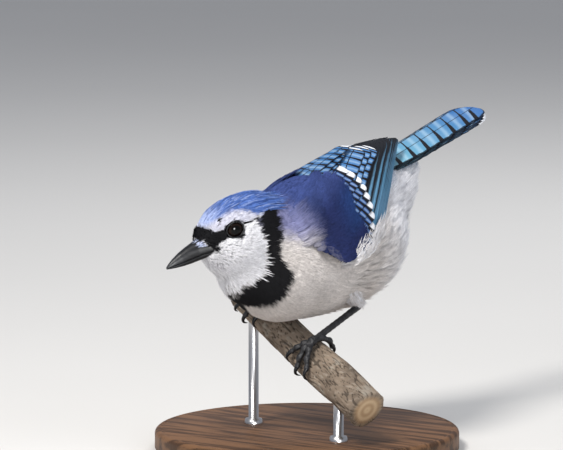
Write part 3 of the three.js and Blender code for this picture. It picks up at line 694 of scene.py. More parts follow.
def skin_at(rows, columns):
    """Points on the skin, and the way that its rows run there."""
    r = np.minimum(rows.astype(int), len(SKIN) - 2)
    c = columns.astype(int) % SKIN_SIDES
    d = (c + 1) % SKIN_SIDES
    fr = (rows - r)[:, None]
    fc = (columns - np.floor(columns))[:, None]
    top = SKIN[r, c] * (1 - fc) + SKIN[r, d] * fc
    low = SKIN[r + 1, c] * (1 - fc) + SKIN[r + 1, d] * fc
    return top * (1 - fr) + low * fr, unit(low - top)


def on_surface(ways, ups):
    """Ways turned so that they run along a surface."""
    return unit(ways - ups * (ways * ups).sum(-1, keepdims=True))


def waves(points, size, seed):
    """Smooth noise, about -1 to 1, with bumps of about the given size in mm."""
    own = np.random.default_rng(seed)
    total = 0
    for _ in range(7):
        pace = own.normal(0, 1, 3) / size
        total = total + np.sin(points @ pace * 2 + own.uniform(0, 6.28))
    return total / 3.2


# The wings lie on a surface between an upper edge along the back and a lower edge along the flank
WING_TOP = [(14, -14, 21.5), (12, 8, 31), (5, 30, 39.5), (1.5, 54, 45.6), (1, 86, 48)]
WING_BOTTOM = [(28.5, -16, -1), (35, 2, -1), (33.5, 19, 8), (22, 50, 26), (7, 88, 42)]
WING_BULGE = [0.5, 2.5, 3.5, 3.5, 0.8]
WING_CLEAR = -0.2  # the least height of the surface over the plumage


def wing_points(s, q):
    """Points of the left wing's surface, at a share s along it and a share q down it."""
    s = np.clip(s, -0.05, 1)
    top = spline(WING_TOP, s) + np.minimum(s, 0)[..., None] * [0, 100, 0]
    bottom = spline(WING_BOTTOM, s) + np.minimum(s, 0)[..., None] * [0, 100, 0]
    step = 1e-3
    tangent = spline(WING_TOP, np.clip(s + step, 0, 1)) - spline(WING_TOP, np.clip(s - step, 0, 1))
    out = unit(np.cross(bottom - top, tangent))
    bulge = np.interp(s, np.linspace(0, 1, len(WING_BULGE)), WING_BULGE) * 4 * q * (1 - q)
    free = top + (bottom - top) * q[..., None] + out * bulge[..., None]
    return settle(free, WING_CLEAR + np.log1p(np.exp(outside(free) - WING_CLEAR)))


def wing_surface(s, q):
    """Points and outward normals of the left wing's surface."""
    step = 0.01
    ahead = wing_points(np.minimum(1, s + step), q) - wing_points(s - step, q)
    down = wing_points(s, q + step) - wing_points(s, q - step)
    return wing_points(s, q), unit(np.cross(down, ahead))


MIRROR = np.array([-1.0, 1, 1])
WING_COVER = 5.5  # how near to a wing the body's coat ends


def wing_distance(points):
    """How far points are from the nearer wing, in mm."""
    s, q = np.meshgrid(np.linspace(0.15, 0.97, 60), np.linspace(0.08, 0.94, 32), indexing="ij")
    cover = wing_points(s.ravel(), q.ravel())
    mirrored = points * np.where(points[:, :1] < 0, MIRROR, 1)
    nearest = np.full(len(points), 1e9)
    for start in range(0, len(cover), 200):
        gap = mirrored[:, None, :] - cover[None, start : start + 200]
        nearest = np.minimum(nearest, (gap**2).sum(-1).min(1))
    return np.sqrt(nearest)


def clear_of_face(roots, tips):
    """Which tufts keep off the eyes and the bill."""
    h = to_head(roots)
    t = to_head(tips)
    return (eye_distance(h) > 1.14) & (eye_distance(t) > 1.1) & ~in_bill(h, 1.08) & ~in_bill(t, 1.02)


def make_clear_tufts(name, roots, lines, ups, widths, tones, patches, **shape):
    """Tufts, without those that would lie over an eye or the bill."""
    k = clear_of_face(roots, lines[-1])
    make_tufts(name, lines[:, k], ups[k], widths[k], tones[k], patches[k], **shape)


FACE = -19  # the head's own y at the face
COAT_HEAD = 24  # and where the body's coat takes over from the head's


def thigh_distance(points):
    """How far points are from the nearer thigh's middle line."""
    nearest = 1e9
    for heel, lean in zip(HEEL, THIGH_LEAN):
        for share in np.linspace(0, 0.8, 5):
            nearest = np.minimum(nearest, np.linalg.norm(points - heel - np.array(lean) * share, axis=-1))
    return nearest


def make_coat(name, low, high, densities, strands, fine):
    """The coat from low to high in the head's own y, with densities there, in tufts to each square mm."""
    def share(points):
        y = to_head(points)[:, 1]
        return read_off(densities, y) * ((y >= low) & (y < high))

    rows, columns = skin_samples(share)
    roots, ways = skin_at(rows, columns)
    from_wing = wing_distance(roots)
    inside = np.abs(roots[:, 0]) < np.interp(roots[:, 1], [0, 8, 30, 54], [13, 12, 5, 1.5]) + 1
    keep = (from_wing > WING_COVER) | (inside & (roots[:, 2] > 20) & (roots[:, 1] < 44))
    rows, columns, roots, ways, from_wing = (item[keep] for item in (rows, columns, roots, ways, from_wing))
    count = len(roots)
    ups = outward(roots)
    h = to_head(roots)
    y = h[:, 1]
    by, bz = roots[:, 1], roots[:, 2]

    # The feathers lie back along the body, and those of the flank a little upwards
    flank = smooth(-5, 25, by) * smooth(4, 14, np.abs(roots[:, 0])) * smooth(26, 8, bz)
    flank = flank * smooth(5, 14, from_wing)
    ways = ways + flank[:, None] * [0, 0, 0.3] + 0.07 * rng.normal(size=ways.shape)
    ways = ways + 0.22 * waves(roots, 16, 3)[:, None] * unit(np.cross(ways, ups))
    ways = on_surface(ways, ups)
    throat = smooth(-9, -17, h[:, 2]) * smooth(16, 4, y)
    lengths = np.interp(y, [FACE, -12, 0, 14, 40, 90], [1.5, 2.4, 3.6, 5.4, 8, 10.5])
    lengths = lengths * (1 + 0.6 * throat) * rng.uniform(0.85, 1.15, count)
    fluff = rng.uniform(0, 1, count) ** 2.4 * smooth(-2, 30, by)
    fluff = fluff * smooth(16, 4, bz - read_off(BLUE_LEVEL, by))
    lift = np.interp(y, [FACE, 0, 30, 90], [0.1, 0.25, 0.4, 0.6]) + rng.normal(0, 0.05, count)
    lift = lift + 0.5 * throat + 2.8 * fluff * smooth(6, 15, from_wing)
    lift = lift + 3 * smooth(9, 3, thigh_distance(roots))
    lines = lay(roots, ways, ups, lengths, -0.6, lift)
    tones = markings(lines[1], 0.5 * waves(roots, 2.2, 5) + rng.normal(0, 0.25, count))
    tones = tones * (1 + 0.05 * waves(roots, 9, 6) + 0.03 * rng.normal(size=count))[:, None]

    k = np.flatnonzero(clear_of_face(roots, lines[-1]))
    k = k[np.argsort(y[k])]
    patches = skin_patch(rows, columns)
    make_tufts(name, lines[:, k], ups[k], (lengths * 0.4)[k], tones[k], patches[k], strands, fine)


def chosen_on_skin(density, keep):
    """Samples of the skin that keep(points, head points) allows.

    Returns their places on the baking map, roots, ways and ups.
    """
    rows, columns = skin_samples(lambda points: density + 0 * points[:, 0])
    roots, ways = skin_at(rows, columns)
    k = keep(roots, to_head(roots))
    rows, columns, roots, ways = (item[k] for item in (rows, columns, roots, ways))
    return skin_patch(rows, columns), roots, ways, outward(roots)


# Tufts to each square mm of the skin there
CREST_DENSITY = 1.5
LANCE_DENSITY = 0.75
LORE_DENSITY = 2.6
NASAL_TUFTS = 150  # on each side


def make_crest():
    """Long narrow feathers of the crown and crest, laid flat back over the nape."""
    def on_crown(points, h):
        line = read_off(BROW_TOP, h[:, 1])
        return (h[:, 2] > line + 0.4) & (h[:, 1] > -19) & (h[:, 1] < 15) & (np.abs(h[:, 0]) < 11)

    patches, roots, ways, ups = chosen_on_skin(CREST_DENSITY, on_crown)
    h = to_head(roots)
    y = h[:, 1]
    back = from_head([0, 1, 0]) - from_head([0, 0, 0])
    ways = on_surface(unit(ways + 0.6 * back + 0.05 * rng.normal(size=ways.shape)), ups)
    lengths = np.interp(y, [-19, -14, -6, 4, 14], [3, 6, 10, 14, 20]) * rng.uniform(0.8, 1.1, len(y))
    middle = 1 - np.abs(h[:, 0]) / 12
    lift = np.interp(y + lengths, [-14, 0, 10, 20, 36], [0.3, 0.9, 1.3, 1.6, 1.9]) * (0.35 + 0.65 * middle)
    lines = lay(roots, ways, ups, lengths, -0.5, lift + rng.normal(0, 0.1, len(y)), 0.7)
    tones = blend(PALE, CROWN, smooth(-18, -7, y))
    streak = rng.uniform(0, 1, len(y))
    tones = blend(tones, PALE, 0.35 * smooth(0.72, 0.95, streak))
    tones = blend(tones, DUSK, 0.6 * smooth(0.25, 0.05, streak))
    tones = blend(tones, BLACK, 0.8 * smooth(-14.5, -16, y) * (streak < 0.3))
    widths = np.full(len(y), 1.7)
    shape = {"strands": 4, "fine": 0.42, "steps": 4, "point": 0.75}
    make_clear_tufts("crest", roots, lines, ups, widths, tones, patches, **shape)


def make_lances():
    """The throat's long white spears, whose tips lie over the black collar."""
    def on_throat(points, h):
        roll = np.degrees(np.arctan2(np.abs(h[:, 0]), h[:, 2]))
        ahead = np.interp(roll, COLLAR_ROLL, COLLAR_FRONT) - h[:, 1]
        return (roll > 98) & (ahead > 0.5) & (ahead < 8) & (h[:, 2] < -5)

    patches, roots, ways, ups = chosen_on_skin(LANCE_DENSITY, on_throat)
    h = to_head(roots)
    low = smooth(-8, -18, h[:, 2])
    lengths = (4.5 + 4.2 * low) * rng.uniform(0.75, 1.2, len(h))
    ways = on_surface(ways + 0.16 * rng.normal(size=ways.shape), ups)
    lift = 0.45 + 0.8 * low * rng.uniform(0.3, 1, len(h))
    lines = lay(roots, ways, ups, lengths, -0.5, lift)
    tones = np.tile(WHITE, (len(h), 1)) * rng.uniform(0.9, 1.04, len(h))[:, None]
    shape = {"strands": 3, "fine": 0.5, "steps": 4, "point": 0.85}
    make_clear_tufts("throat_lances", roots, lines, ups, 1.1 + 0.5 * low, tones, patches, **shape)


def make_face_tufts():
    """Bristles: white ones forward over the nostrils, and black ones on the lores."""
    lines = []
    ups = []
    tones = []
    for side in (1, -1):
        for _ in range(NASAL_TUFTS):
            turn = math.radians(rng.uniform(24, 98))
            start = rng.uniform(16.2, 19.5)
            length = rng.uniform(2.6, 4.6) * (0.7 + 0.4 * math.sin(turn))
            path = []
            for share in LINE:
                forward = start + length * share
                t = (forward + BILL_ROOT[1]) / (BILL_ROOT[1] - BILL_TIP[1])
                half = np.interp(t, BILL_STATIONS, BILL_WIDTH) / 2
                tall = np.interp(t, BILL_STATIONS, UPPER_HEIGHT)
                out = 0.15 + 0.9 * share * (1 - share) + 0.25 * share
                path.append((
                    side * (half + out) * math.cos(turn),
                    -forward,
                    BILL_ROOT[2] + (tall + out) * math.sin(turn) ** 0.8,
                ))
            lines.append(from_head(path))
            ups.append(HEAD_FRAME @ [side * math.cos(turn), -0.2, math.sin(turn)])
            dark = rng.uniform() < (0.6 if turn > math.radians(62) else 0.25)
            tones.append(BLACK if dark else blend(GREY, PALE, rng.uniform(0.2, 1)))
    lines = np.array(lines).transpose(1, 0, 2)
    patches = np.tile(skin_patch(np.array([6.0]), np.array([24.0])), (lines.shape[1], 1))
    patches = patches + rng.uniform(-0.02, 0.02, patches.shape)
    widths = np.full(lines.shape[1], 0.9)
    ups = unit(np.array(ups))
    make_tufts("nasal_tufts", lines, ups, widths, np.array(tones), patches, strands=3, fine=0.32, point=0.8)

    patches, roots, ways, ups = chosen_on_skin(LORE_DENSITY, lambda _, h: lore(h) > 0.4)
    forward = from_head([0, -1, 0.45]) - from_head([0, 0, 0])
    ways = on_surface(forward + 0.3 * rng.normal(size=ways.shape), ups)
    lengths = rng.uniform(1.8, 3.4, len(roots))
    lines = lay(roots, ways, ups, lengths, -0.3, 0.6 + rng.uniform(0, 0.5, len(roots)))
    tones = np.tile(BLACK, (len(roots), 1))
    widths = np.full(len(roots), 0.9)
    shape = {"strands": 3, "fine": 0.3, "point": 0.8}
    make_clear_tufts("lore_bristles", roots, lines, ups, widths, tones, patches, **shape)


# Tufts along each wing's edges. Each function gives those of the left wing: their middle lines, ups, widths,
# colours and places on the baking map, where side only keeps the two wings apart.
SCAPULARS = 650
SHOULDER_TUFTS = 620
FRINGE_WHITE = 300
FRINGE_DARK = 420


def scapulars(side):
    """Long feathers of the mantle that lie over the wing's upper edge."""
    count = SCAPULARS
    s = 0.27 * rng.uniform(0, 1, count) ** 0.8
    q = rng.uniform(-0.2, 0.1, count) * smooth(-0.1, 0.1, s) + 0.02
    length = rng.uniform(0.06, 0.09, count)
    down = rng.uniform(0.0, 0.06, count)
    top = 0.4 + 0.7 * smooth(0.05, 0.3, s) + rng.uniform(-0.2, 0.2, count)
    lines = []
    for t in LINE:
        middle, ups = wing_surface(s + length * t, q + down * t)
        lines.append(middle + ups * (-0.6 + (top + 0.6) * t**0.6)[:, None])
    lines = np.array(lines)
    lines[..., 0] = np.maximum(lines[..., 0], GAP)
    shade = blend(markings(lines[1]), MANTLE, smooth(0.02, 0.16, s))
    shade = blend(shade, NAVY, 0.4 * rng.uniform(0, 1, count) * smooth(0.1, 0.3, s))
    patches = np.stack([0.5 + side * (0.42 + 0.2 * q), 0.3 + 0.5 * s], -1)
    return lines, ups, np.full(count, 3.0), shade, patches


def shoulder(side):
    """Feathers of the breast's side that lie back over the wing's front."""
    count = SHOULDER_TUFTS
    s = rng.uniform(-0.05, 0.09, count)
    q = rng.uniform(-0.04, 0.66, count) + 1.6 * np.maximum(s, 0)
    length = rng.uniform(0.09, 0.14, count)
    top = rng.uniform(1.1, 1.8, count) - 0.9 * smooth(0.5, 0.75, q)
    lines = []
    for t in LINE:
        middle, ups = wing_surface(s + length * t, q - 0.015 * t)
        over = middle + ups * (-0.4 + (top + 0.4) * t**0.6)[:, None]
        lines.append(blend(settle(middle, -0.6), over, np.full(count, smooth(0, 0.8, t))))
    lines = np.array(lines)
    # Painted shade: these tufts are darker than the coat's colour where they lie
    shade = wing_tone(lines[1], s + 0.4 * length + rng.normal(0, 0.012, count), q) * 0.88
    patches = np.stack([0.5 + side * (0.1 + 0.35 * q), 0.2 + s], -1)
    return lines, ups, np.full(count, 3.2), shade, patches


def flank_fringe(side):
    """White flank feathers up over the wing's lower edge, and dark ones of that edge over the flank."""
    count = FRINGE_WHITE + FRINGE_DARK
    is_white = np.arange(count) < FRINGE_WHITE
    s = np.where(is_white, rng.uniform(0.26, 0.58, count), rng.uniform(0.1, 0.42, count))
    edge = np.minimum(1, 0.72 + 1.7 * s)
    low = rng.uniform(1.04, 1.18, count) + 0.7 * np.maximum(s - 0.38, 0)
    q = np.where(is_white, low, edge - rng.uniform(0.0, 0.12, count))
    down = np.where(is_white, rng.uniform(-0.17, -0.03, count), rng.uniform(0.05, 0.13, count))
    back = rng.uniform(0.06, 0.12, count)
    root = np.where(is_white, -0.7, 0.6)
    tip = np.where(is_white, rng.uniform(2.2, 3.2, count), rng.uniform(0.9, 1.6, count))
    lines = []
    for t in LINE:
        middle, ups = wing_surface(s + back * t, q + down * t)
        height = root + (tip - root) * t**0.5
        on_wing = np.where(is_white, smooth(0, 0.7, t), 1 - smooth(0.2, 1, t))
        lines.append(blend(settle(middle, height), middle + ups * height[:, None], on_wing))
    lines = np.array(lines)
    pale = markings(lines[0] - [0, 0, 3])
    dark = blend(wing_tone(lines[0], s, np.minimum(q, 1)), pale, 0.1 * rng.uniform(0, 1, count))
    shade = np.where(is_white[:, None], blend(pale, WHITE, rng.uniform(0.3, 1, count)), dark)
    patches = np.stack([0.5 + side * (0.1 + 0.35 * s), 0.3 + 0.4 * q / 1.3], -1)
    return lines, ups, np.where(is_white, 1.7, 2.0), shade, patches


def make_edge_tufts(piece, tufts, **shape):
    """The tufts of one of the functions above, on each wing."""
    for side, name in SIDES:
        lines, ups, widths, tones, patches = tufts(side)
        flip = np.array([side, 1, 1])
        make_tufts(f"{piece}_{name}", lines * flip, ups * flip, widths, tones, patches, **shape)


# The bill, in the head's frame
BILL_ROOT = np.array([0, -13, -3.9])
BILL_TIP = np.array([0, -40.5, -3.4])
BILL_DROOP = 0.9
BILL_STATIONS = [0, 0.18, 0.36, 0.52, 0.68, 0.82, 0.93, 0.985]
BILL_WIDTH = [15, 11.6, 8.9, 7.3, 5.8, 4.1, 2.4, 1.1]
UPPER_HEIGHT = [6.6, 6.7, 6.3, 5.5, 4.4, 3, 1.6, 0.6]
LOWER_HEIGHT = [3, 3, 2.9, 2.7, 2.2, 1.5, 0.8, 0.35]


def in_bill(head_points, grow=1.0):
    """Whether points in the head's frame are inside the bill, made larger by grow."""
    t = (BILL_ROOT[1] - head_points[:, 1]) / (BILL_ROOT[1] - BILL_TIP[1])
    middle = BILL_ROOT[2] + (BILL_TIP[2] - BILL_ROOT[2]) * t
    upper = np.interp(t, BILL_STATIONS, UPPER_HEIGHT)
    lower = np.interp(t, BILL_STATIONS, LOWER_HEIGHT)
    height = np.where(head_points[:, 2] > middle, upper, lower) * grow
    half = np.interp(t, BILL_STATIONS, BILL_WIDTH) / 2 * grow
    return (t > 0) & (np.hypot(head_points[:, 0] / half, (head_points[:, 2] - middle) / height) < 1)


def make_bill():
    """The two halves of the bill."""
    stations = np.linspace(0, 1, 70) ** 0.9
    turn = np.linspace(0, math.pi, 29)
    for sign, name in ((1, "bill_upper"), (-1, "bill_lower")):
        heights = UPPER_HEIGHT if sign > 0 else LOWER_HEIGHT
        rings = []
        along = []
        for t in stations:
            middle = BILL_ROOT + (BILL_TIP - BILL_ROOT) * t
            droop = BILL_DROOP * max(0, 1 - t / 0.4) ** 2
            half = np.interp(t, [*BILL_STATIONS, 1], [*BILL_WIDTH, 0.3]) / 2
            rise = np.interp(t, [*BILL_STATIONS, 1], [*heights, 0.15])
            edge = 1 - 0.05 * (sign < 0)
            x = half * edge * np.cos(turn)
            z = middle[2] - droop + sign * (GAP / 2 + rise * np.sin(turn) ** 0.85)
            rings.append(from_head(np.stack([x, np.full(len(turn), middle[1]), z], -1)))
            along.append(np.full(len(turn), t))
        points, faces = lofted(np.array(rings))
        along = np.concatenate([np.array(along).ravel(), [0, 1]])
        place(make_mesh(name + "_horn", points, faces, HORN, along=along), "horn", name)


def horn_material():
    """The black horn of the bill, the lids and the claws."""
    m = Shader("horn", 0.4, Specular_IOR_Level=0.26)
    streak = m.noise(420, 4, (1, 0.25, 1))
    colour = m.mix((0.006, 0.0065, 0.008), (0.017, 0.018, 0.021), streak.step(0.35, 0.75))
    # Painted highlight: the bill is lighter towards its tip
    colour = m.mix(colour, (0.024, 0.026, 0.031), m.number("along").step(0.5, 1.0) * 0.7)
    m.colour(colour)
    m.rough(streak * 0.2 + 0.28)
    m.bump(streak, 0.3, 0.0002)
    return m.material


EYE_RINGS = 40
EYE_SIDES = 48


def make_eyes():
    """The eyeballs, each with its lids."""
    for side, name in SIDES:
        look = EYE_LOOK * [side, 1, 1]
        across = unit(np.cross([0, 0, 1], look))
        over = np.cross(look, across)
        lean = np.linspace(0, math.pi, EYE_RINGS)[:, None]
        turn = circle(EYE_SIDES)[None]
        ball = (
            np.cos(lean)[..., None] * look
            + (np.sin(lean) * np.cos(turn))[..., None] * across
            + (np.sin(lean) * np.sin(turn))[..., None] * over
        )
        ball[0] += 1e-4 * (np.cos(turn)[..., None] * across + np.sin(turn)[..., None] * over)[0]
        rings = from_head(EYE_AT * [side, 1, 1] + EYE_RADIUS * ball)
        points, faces = lofted(rings)
        angle = np.concatenate([np.repeat(np.degrees(lean[:, 0]), EYE_SIDES), [0, 180]])
        place(make_mesh(f"eye_{name}_ball", points, faces, EYE, look=angle), "eye", f"eye_{name}")
        make_lids(side, name, across, over, look)


def eye_material():
    """A dark brown iris round a black pupil."""
    m = Shader("eye", 0.06, Specular_IOR_Level=0.16)
    angle = m.number("look")
    iris = m.mix((0.012, 0.006, 0.004), (0.006, 0.003, 0.0025), m.noise(900, 3).step(0.35, 0.65))
    ring = m.mix(iris, (0.002, 0.002, 0.002), angle.step(42, 50))
    m.colour(m.mix((0.002, 0.002, 0.002), ring, angle.step(24, 27)))
    return m.material


LID_THICK = 0.75
LID_SEAT = 0.45  # the share of it that lies between a lid's middle line and the eye
LID_BEADS = 18


def make_lids(side, name, across, over, look):
    """The rim of skin round an eye, with a fine beaded edge."""
    steps = 72
    around = 10
    seat = EYE_RADIUS + GAP + LID_THICK * LID_SEAT
    rings = []
    for i in range(steps):
        angle = i / steps * 2 * math.pi
        flat = LID_HALF[0] * math.cos(angle) * across + LID_HALF[1] * math.sin(angle) * over
        out = flat + look * math.sqrt(seat**2 - flat @ flat)
        up = out / np.linalg.norm(out)
        beside = unit(flat - up * (flat @ up))
        turn = circle(around)[:, None]
        thick = LID_THICK * (LID_SEAT + 0.06 * math.sin(angle * LID_BEADS))
        rings.append(EYE_AT * [side, 1, 1] + out + thick * (np.cos(turn) * up + np.sin(turn) * beside))
    points = from_head(np.array(rings).reshape(-1, 3))
    r, k = np.meshgrid(np.arange(steps), np.arange(around), indexing="ij")
    a = r * around + k
    b = r * around + (k + 1) % around
    c = (r + 1) % steps * around + k
    d = (r + 1) % steps * around + (k + 1) % around
    faces = np.stack([a, b, d, c], -1).reshape(-1, 4)
    place(make_mesh(f"lids_{name}", points, [faces], HORN), "leg_scales")


# Flight and tail feathers
QUILL_STEPS = 44
QUILL_ACROSS = 11
QUILL_THICK = 0.16
ROOT_SHARE = 0.35  # of a feather's length, over which it widens and rises from its root


def quill_share(t, taper, root, square):
    """How wide a feather is at places along it, as a share of its width."""
    narrow = root + (1 - root) * np.minimum(1, t / ROOT_SHARE)
    bend = np.clip((t - taper) / (1 - taper), 0, 1)
    return np.maximum(narrow * np.maximum(0, 1 - bend**square) ** (1 / square), 0.015)


def quill(
    surface, root, tip, width, outer, taper, square, height, lift, narrow=0.5, tilt=0.0, camber=0.012,
    vane=0.5, bow=0.0,
):
    """One feather over a surface, from root to tip.

    outer is the side of its outer web and vane that web's share of the width. taper is where its end starts
    to narrow, square how blunt the end is, and narrow how wide the root is. height and lift are how far the
    root and the rest stand off the surface, and bow is how far the feather bends down it. Returns its rings,
    then for each point how far it is from the tip, how far across towards the outer web and its place on the
    web, and last each point's share along the feather.
    """
    t = 1 - (1 - np.linspace(0, 1, QUILL_STEPS)) ** 1.35
    s = root[0] + (tip[0] - root[0]) * t
    q = root[1] + (tip[1] - root[1]) * t + bow * 4 * t * (1 - t)
    points, normals = surface(s, q)
    points = points + normals * (height + (lift - height) * np.minimum(1, t / ROOT_SHARE))[:, None]
    ahead = unit(np.gradient(points, axis=0))
    side = unit(np.cross(ahead, normals))
    up = np.cross(side, ahead)
    length = np.concatenate([[0], np.cumsum(np.linalg.norm(np.diff(points, axis=0), axis=-1))])
    share = quill_share(t, taper, narrow, square) * width
    web = np.linspace(-1, 1, QUILL_ACROSS)
    centre = (vane - 0.5) * outer
    fray = 1 + 0.02 * np.interp(length, np.arange(0, 200, 1.7), rng.normal(0, 1, 118))
    across = (web[None] / 2 + centre) * (share * fray)[:, None]
    drop = across * tilt - across**2 * camber
    top = points[:, None] + side[:, None] * across[..., None] + up[:, None] * drop[..., None]
    low = top - up[:, None] * QUILL_THICK
    rings = np.concatenate([top, low[:, ::-1]], axis=1)
    from_tip = np.repeat((length[-1] - length)[:, None], 2 * QUILL_ACROSS, 1)
    over = np.concatenate([across, across[:, ::-1]], 1) * outer
    place_on_web = np.concatenate([web, web[::-1]])[None] * outer + 0 * share[:, None]
    along = np.repeat(t[:, None], 2 * QUILL_ACROSS, 1)
    return rings, np.stack([from_tip, over, place_on_web], -1), along


class Quills:
    """Feathers gathered into one piece."""

    def __init__(self):
        self.lofts = []
        self.values = {key: [] for key in ("quill", "bars", "tips", "edges", "tone", "extra")}

    def add(
        self, made, tone, far_tone, spacing=0, first=0, slant=0, thick=1.0, white=0, tip_line=0.9,
        dark=(0, 0, 0), rim=0.0, extra=0.0,
    ):
        """A feather that quill() made, and its pattern.

        tone and far_tone are the ground colours at the root and the tip. Bars stand every spacing mm from
        first mm short of the tip, with one more at extra mm, and slant back over the outer web. white is the
        length of the pale tip, and tip_line of the black behind it. dark says how black the inner part is,
        and its edge on the web at the root and at the tip, from -1 to 1. rim is how dark the outer edge is.
        """
        rings, on_feather, along = made
        self.lofts.append(lofted(rings))
        count = len(self.lofts[-1][0])
        along = np.concatenate([along.ravel(), [0, 1]])
        ends = [on_feather[0].mean(0)[None], on_feather[-1].mean(0)[None]]
        edge = dark[1] + (dark[2] - dark[1]) * along
        own = {
            "quill": np.concatenate([on_feather.reshape(-1, 3), *ends]),
            "bars": np.tile([spacing, first, slant], (count, 1)),
            "tips": np.tile([white, tip_line, thick], (count, 1)),
            "edges": np.stack([np.full(count, dark[0]), edge, np.full(count, rim)], -1),
            "tone": blend(tone, far_tone, along),
            "extra": np.tile([extra, 0, 0], (count, 1)),
        }
        for key, value in own.items():
            self.values[key].append(value)

    def finish(self, name, *nodes, flip=1):
        """The piece, which stands for CAD nodes."""
        points, faces = gathered(self.lofts)
        values = {key: np.concatenate(item) for key, item in self.values.items()}
        place(make_mesh(name, points * flip, faces, QUILL, **values), "quill_feathers", *nodes)


def quill_material():
    """Blue vanes with black bars, a black shaft, pale tips and dark inner webs, ruled with barbs."""
    m = Shader("quill_feathers", 0.55, Specular_IOR_Level=0.22)
    from_tip, across, web = m.numbers("quill")
    spacing, first, slant = m.numbers("bars")
    white, tip_line, thick = m.numbers("tips")
    dark, dark_edge, rim = m.numbers("edges")
    extra, _, _ = m.numbers("extra")
    size = across.math("ABSOLUTE")
    edge = web.math("ABSOLUTE")
    wobble = (m.noise(160, 2) - 0.5) * 1.1
    barbs = ((from_tip + size * 0.9) * 2.2).math("FRACT")
    barbs = (barbs - 0.5).math("ABSOLUTE") * 2
    ground = m.attribute("tone").outputs["Vector"]
    ground = m.mix(ground, (0.55, 0.62, 0.75), m.noise(60, 3).step(0.3, 0.7) * 0.08)
    shade = m.mix((1, 1, 1), (0.66, 0.7, 0.78), barbs * 0.32)
    ground = m.mix(ground, shade, 1.0, "MULTIPLY")

    # Each cell between two bars is a little lighter in its middle
    place_along = from_tip + across * slant + wobble * 0.5 - first
    safe = spacing.math("MAXIMUM", 0.1)
    cycle = (place_along / safe + 0.5).math("FRACT") - 0.5
    barred = spacing.step(0.2, 0.4)
    light = (cycle.math("ABSOLUTE") - 0.25).step(0.02, 0.24) * barred
    ground = m.mix(ground, (0.5, 0.66, 0.76), light * 0.3)
    gap = cycle.math("ABSOLUTE") * safe
    half = thick * (web.step(-0.35, 0.1) * (edge * 0.55 + 0.3) + 0.35) * 0.5
    bar = (gap - half).step(0.25, -0.25) * barred * (place_along + safe * 0.5).step(-0.2, 0.2)
    more = (place_along + first - extra).math("ABSOLUTE") - half
    bar = bar.math("MAXIMUM", more.step(0.25, -0.25) * extra.step(0.2, 0.4) * web.step(-0.1, 0.1))
    ground = m.mix(ground, (0.006, 0.006, 0.009), bar)
    inner = (web - dark_edge + wobble * 0.1).step(0.14, -0.1) * dark
    ground = m.mix(ground, (0.008, 0.009, 0.013), inner)
    ground = m.mix(ground, (0.006, 0.007, 0.012), (edge - 0.88).step(0, 0.06) * rim)
    tipped = white.step(0.05, 0.2)
    tip_edge = from_tip + edge * edge * 0.4 + wobble * 0.5
    band = (tip_edge - white - tip_line).step(0.3, -0.3) * tipped
    ground = m.mix(ground, (0.006, 0.006, 0.009), band)
    ground = m.mix(ground, (0.74, 0.76, 0.8), (tip_edge - white).step(0.25, -0.25) * tipped)
    shaft = (size - 0.26).step(0.12, -0.12)
    ground = m.mix(ground, (0.005, 0.005, 0.007), shaft * (from_tip - white).step(0, 1))
    m.colour(ground)
    m.bump(barbs * 0.5 + shaft * 1.5, 0.3, 0.0002)
    return m.material


# The tail lies on a long, slightly crowned plane
TAIL_ROOT = np.array([1.2, 62, 31.5])
TAIL_FRAME = rotation(15.6, 1)
TAIL_CROWN = 0.003
TAIL_LENGTH = 91.5
TAIL_PAIRS = 6
TAIL_STEP = 0.2
RECTRIX_WIDTH = 20


def tail_surface(back, left):
    """Points and normals of the tail's upper side."""
    flat = np.stack([left, back, -TAIL_CROWN * left**2], -1)
    normal = unit(np.stack([2 * TAIL_CROWN * left, 0 * left, 1 + 0 * left], -1))
    return flat @ TAIL_FRAME.T + TAIL_ROOT, normal @ TAIL_FRAME.T


def make_tail():
    """Pairs of tail feathers, the middle pair on top."""
    quills = Quills()
    for pair in range(TAIL_PAIRS):
        for side in (-1, 1):
            depth = -TAIL_STEP * (2 * pair + (0 if side > 0 else 1))
            length = TAIL_LENGTH - 0.16 * pair**2
            made = quill(
                tail_surface,
                (-4, side * (0.4 + 0.5 * pair)),
                (length, side * (0.5 + 1.25 * pair)),
                RECTRIX_WIDTH - 0.8 * pair + (1.5 if pair == 0 else 0),
                outer=side,
                taper=0.9,
                narrow=0.55,
                square=2.4,
                height=depth,
                lift=depth,
                camber=0.006,
                vane=0.52 if pair == 0 else 0.5,
            )
            # Painted shade: each pair further out lies lower and is darker; each feather also varies a little
            # at random
            shade = (0.97 - 0.06 * pair) * rng.uniform(0.96, 1.04)
            quills.add(
                made,
                AZURE * shade,
                TAIL_BLUE * shade,
                spacing=11.4,
                first=11.8 + 1.3 * pair,
                slant=-0.75,
                thick=2.8 - 0.3 * pair,
                white=0 if pair == 0 else 2.4 + 1.6 * pair,
                tip_line=1.4,
                dark=(0.35 if pair else 0, -0.2, 0.2),
                rim=0.9,
                extra=4.1 if pair == 0 and side > 0 else 0,
            )
    quills.finish("tail_feathers", "tail")


WING_TILT = 0.13  # how far each wing feather leans on its neighbour


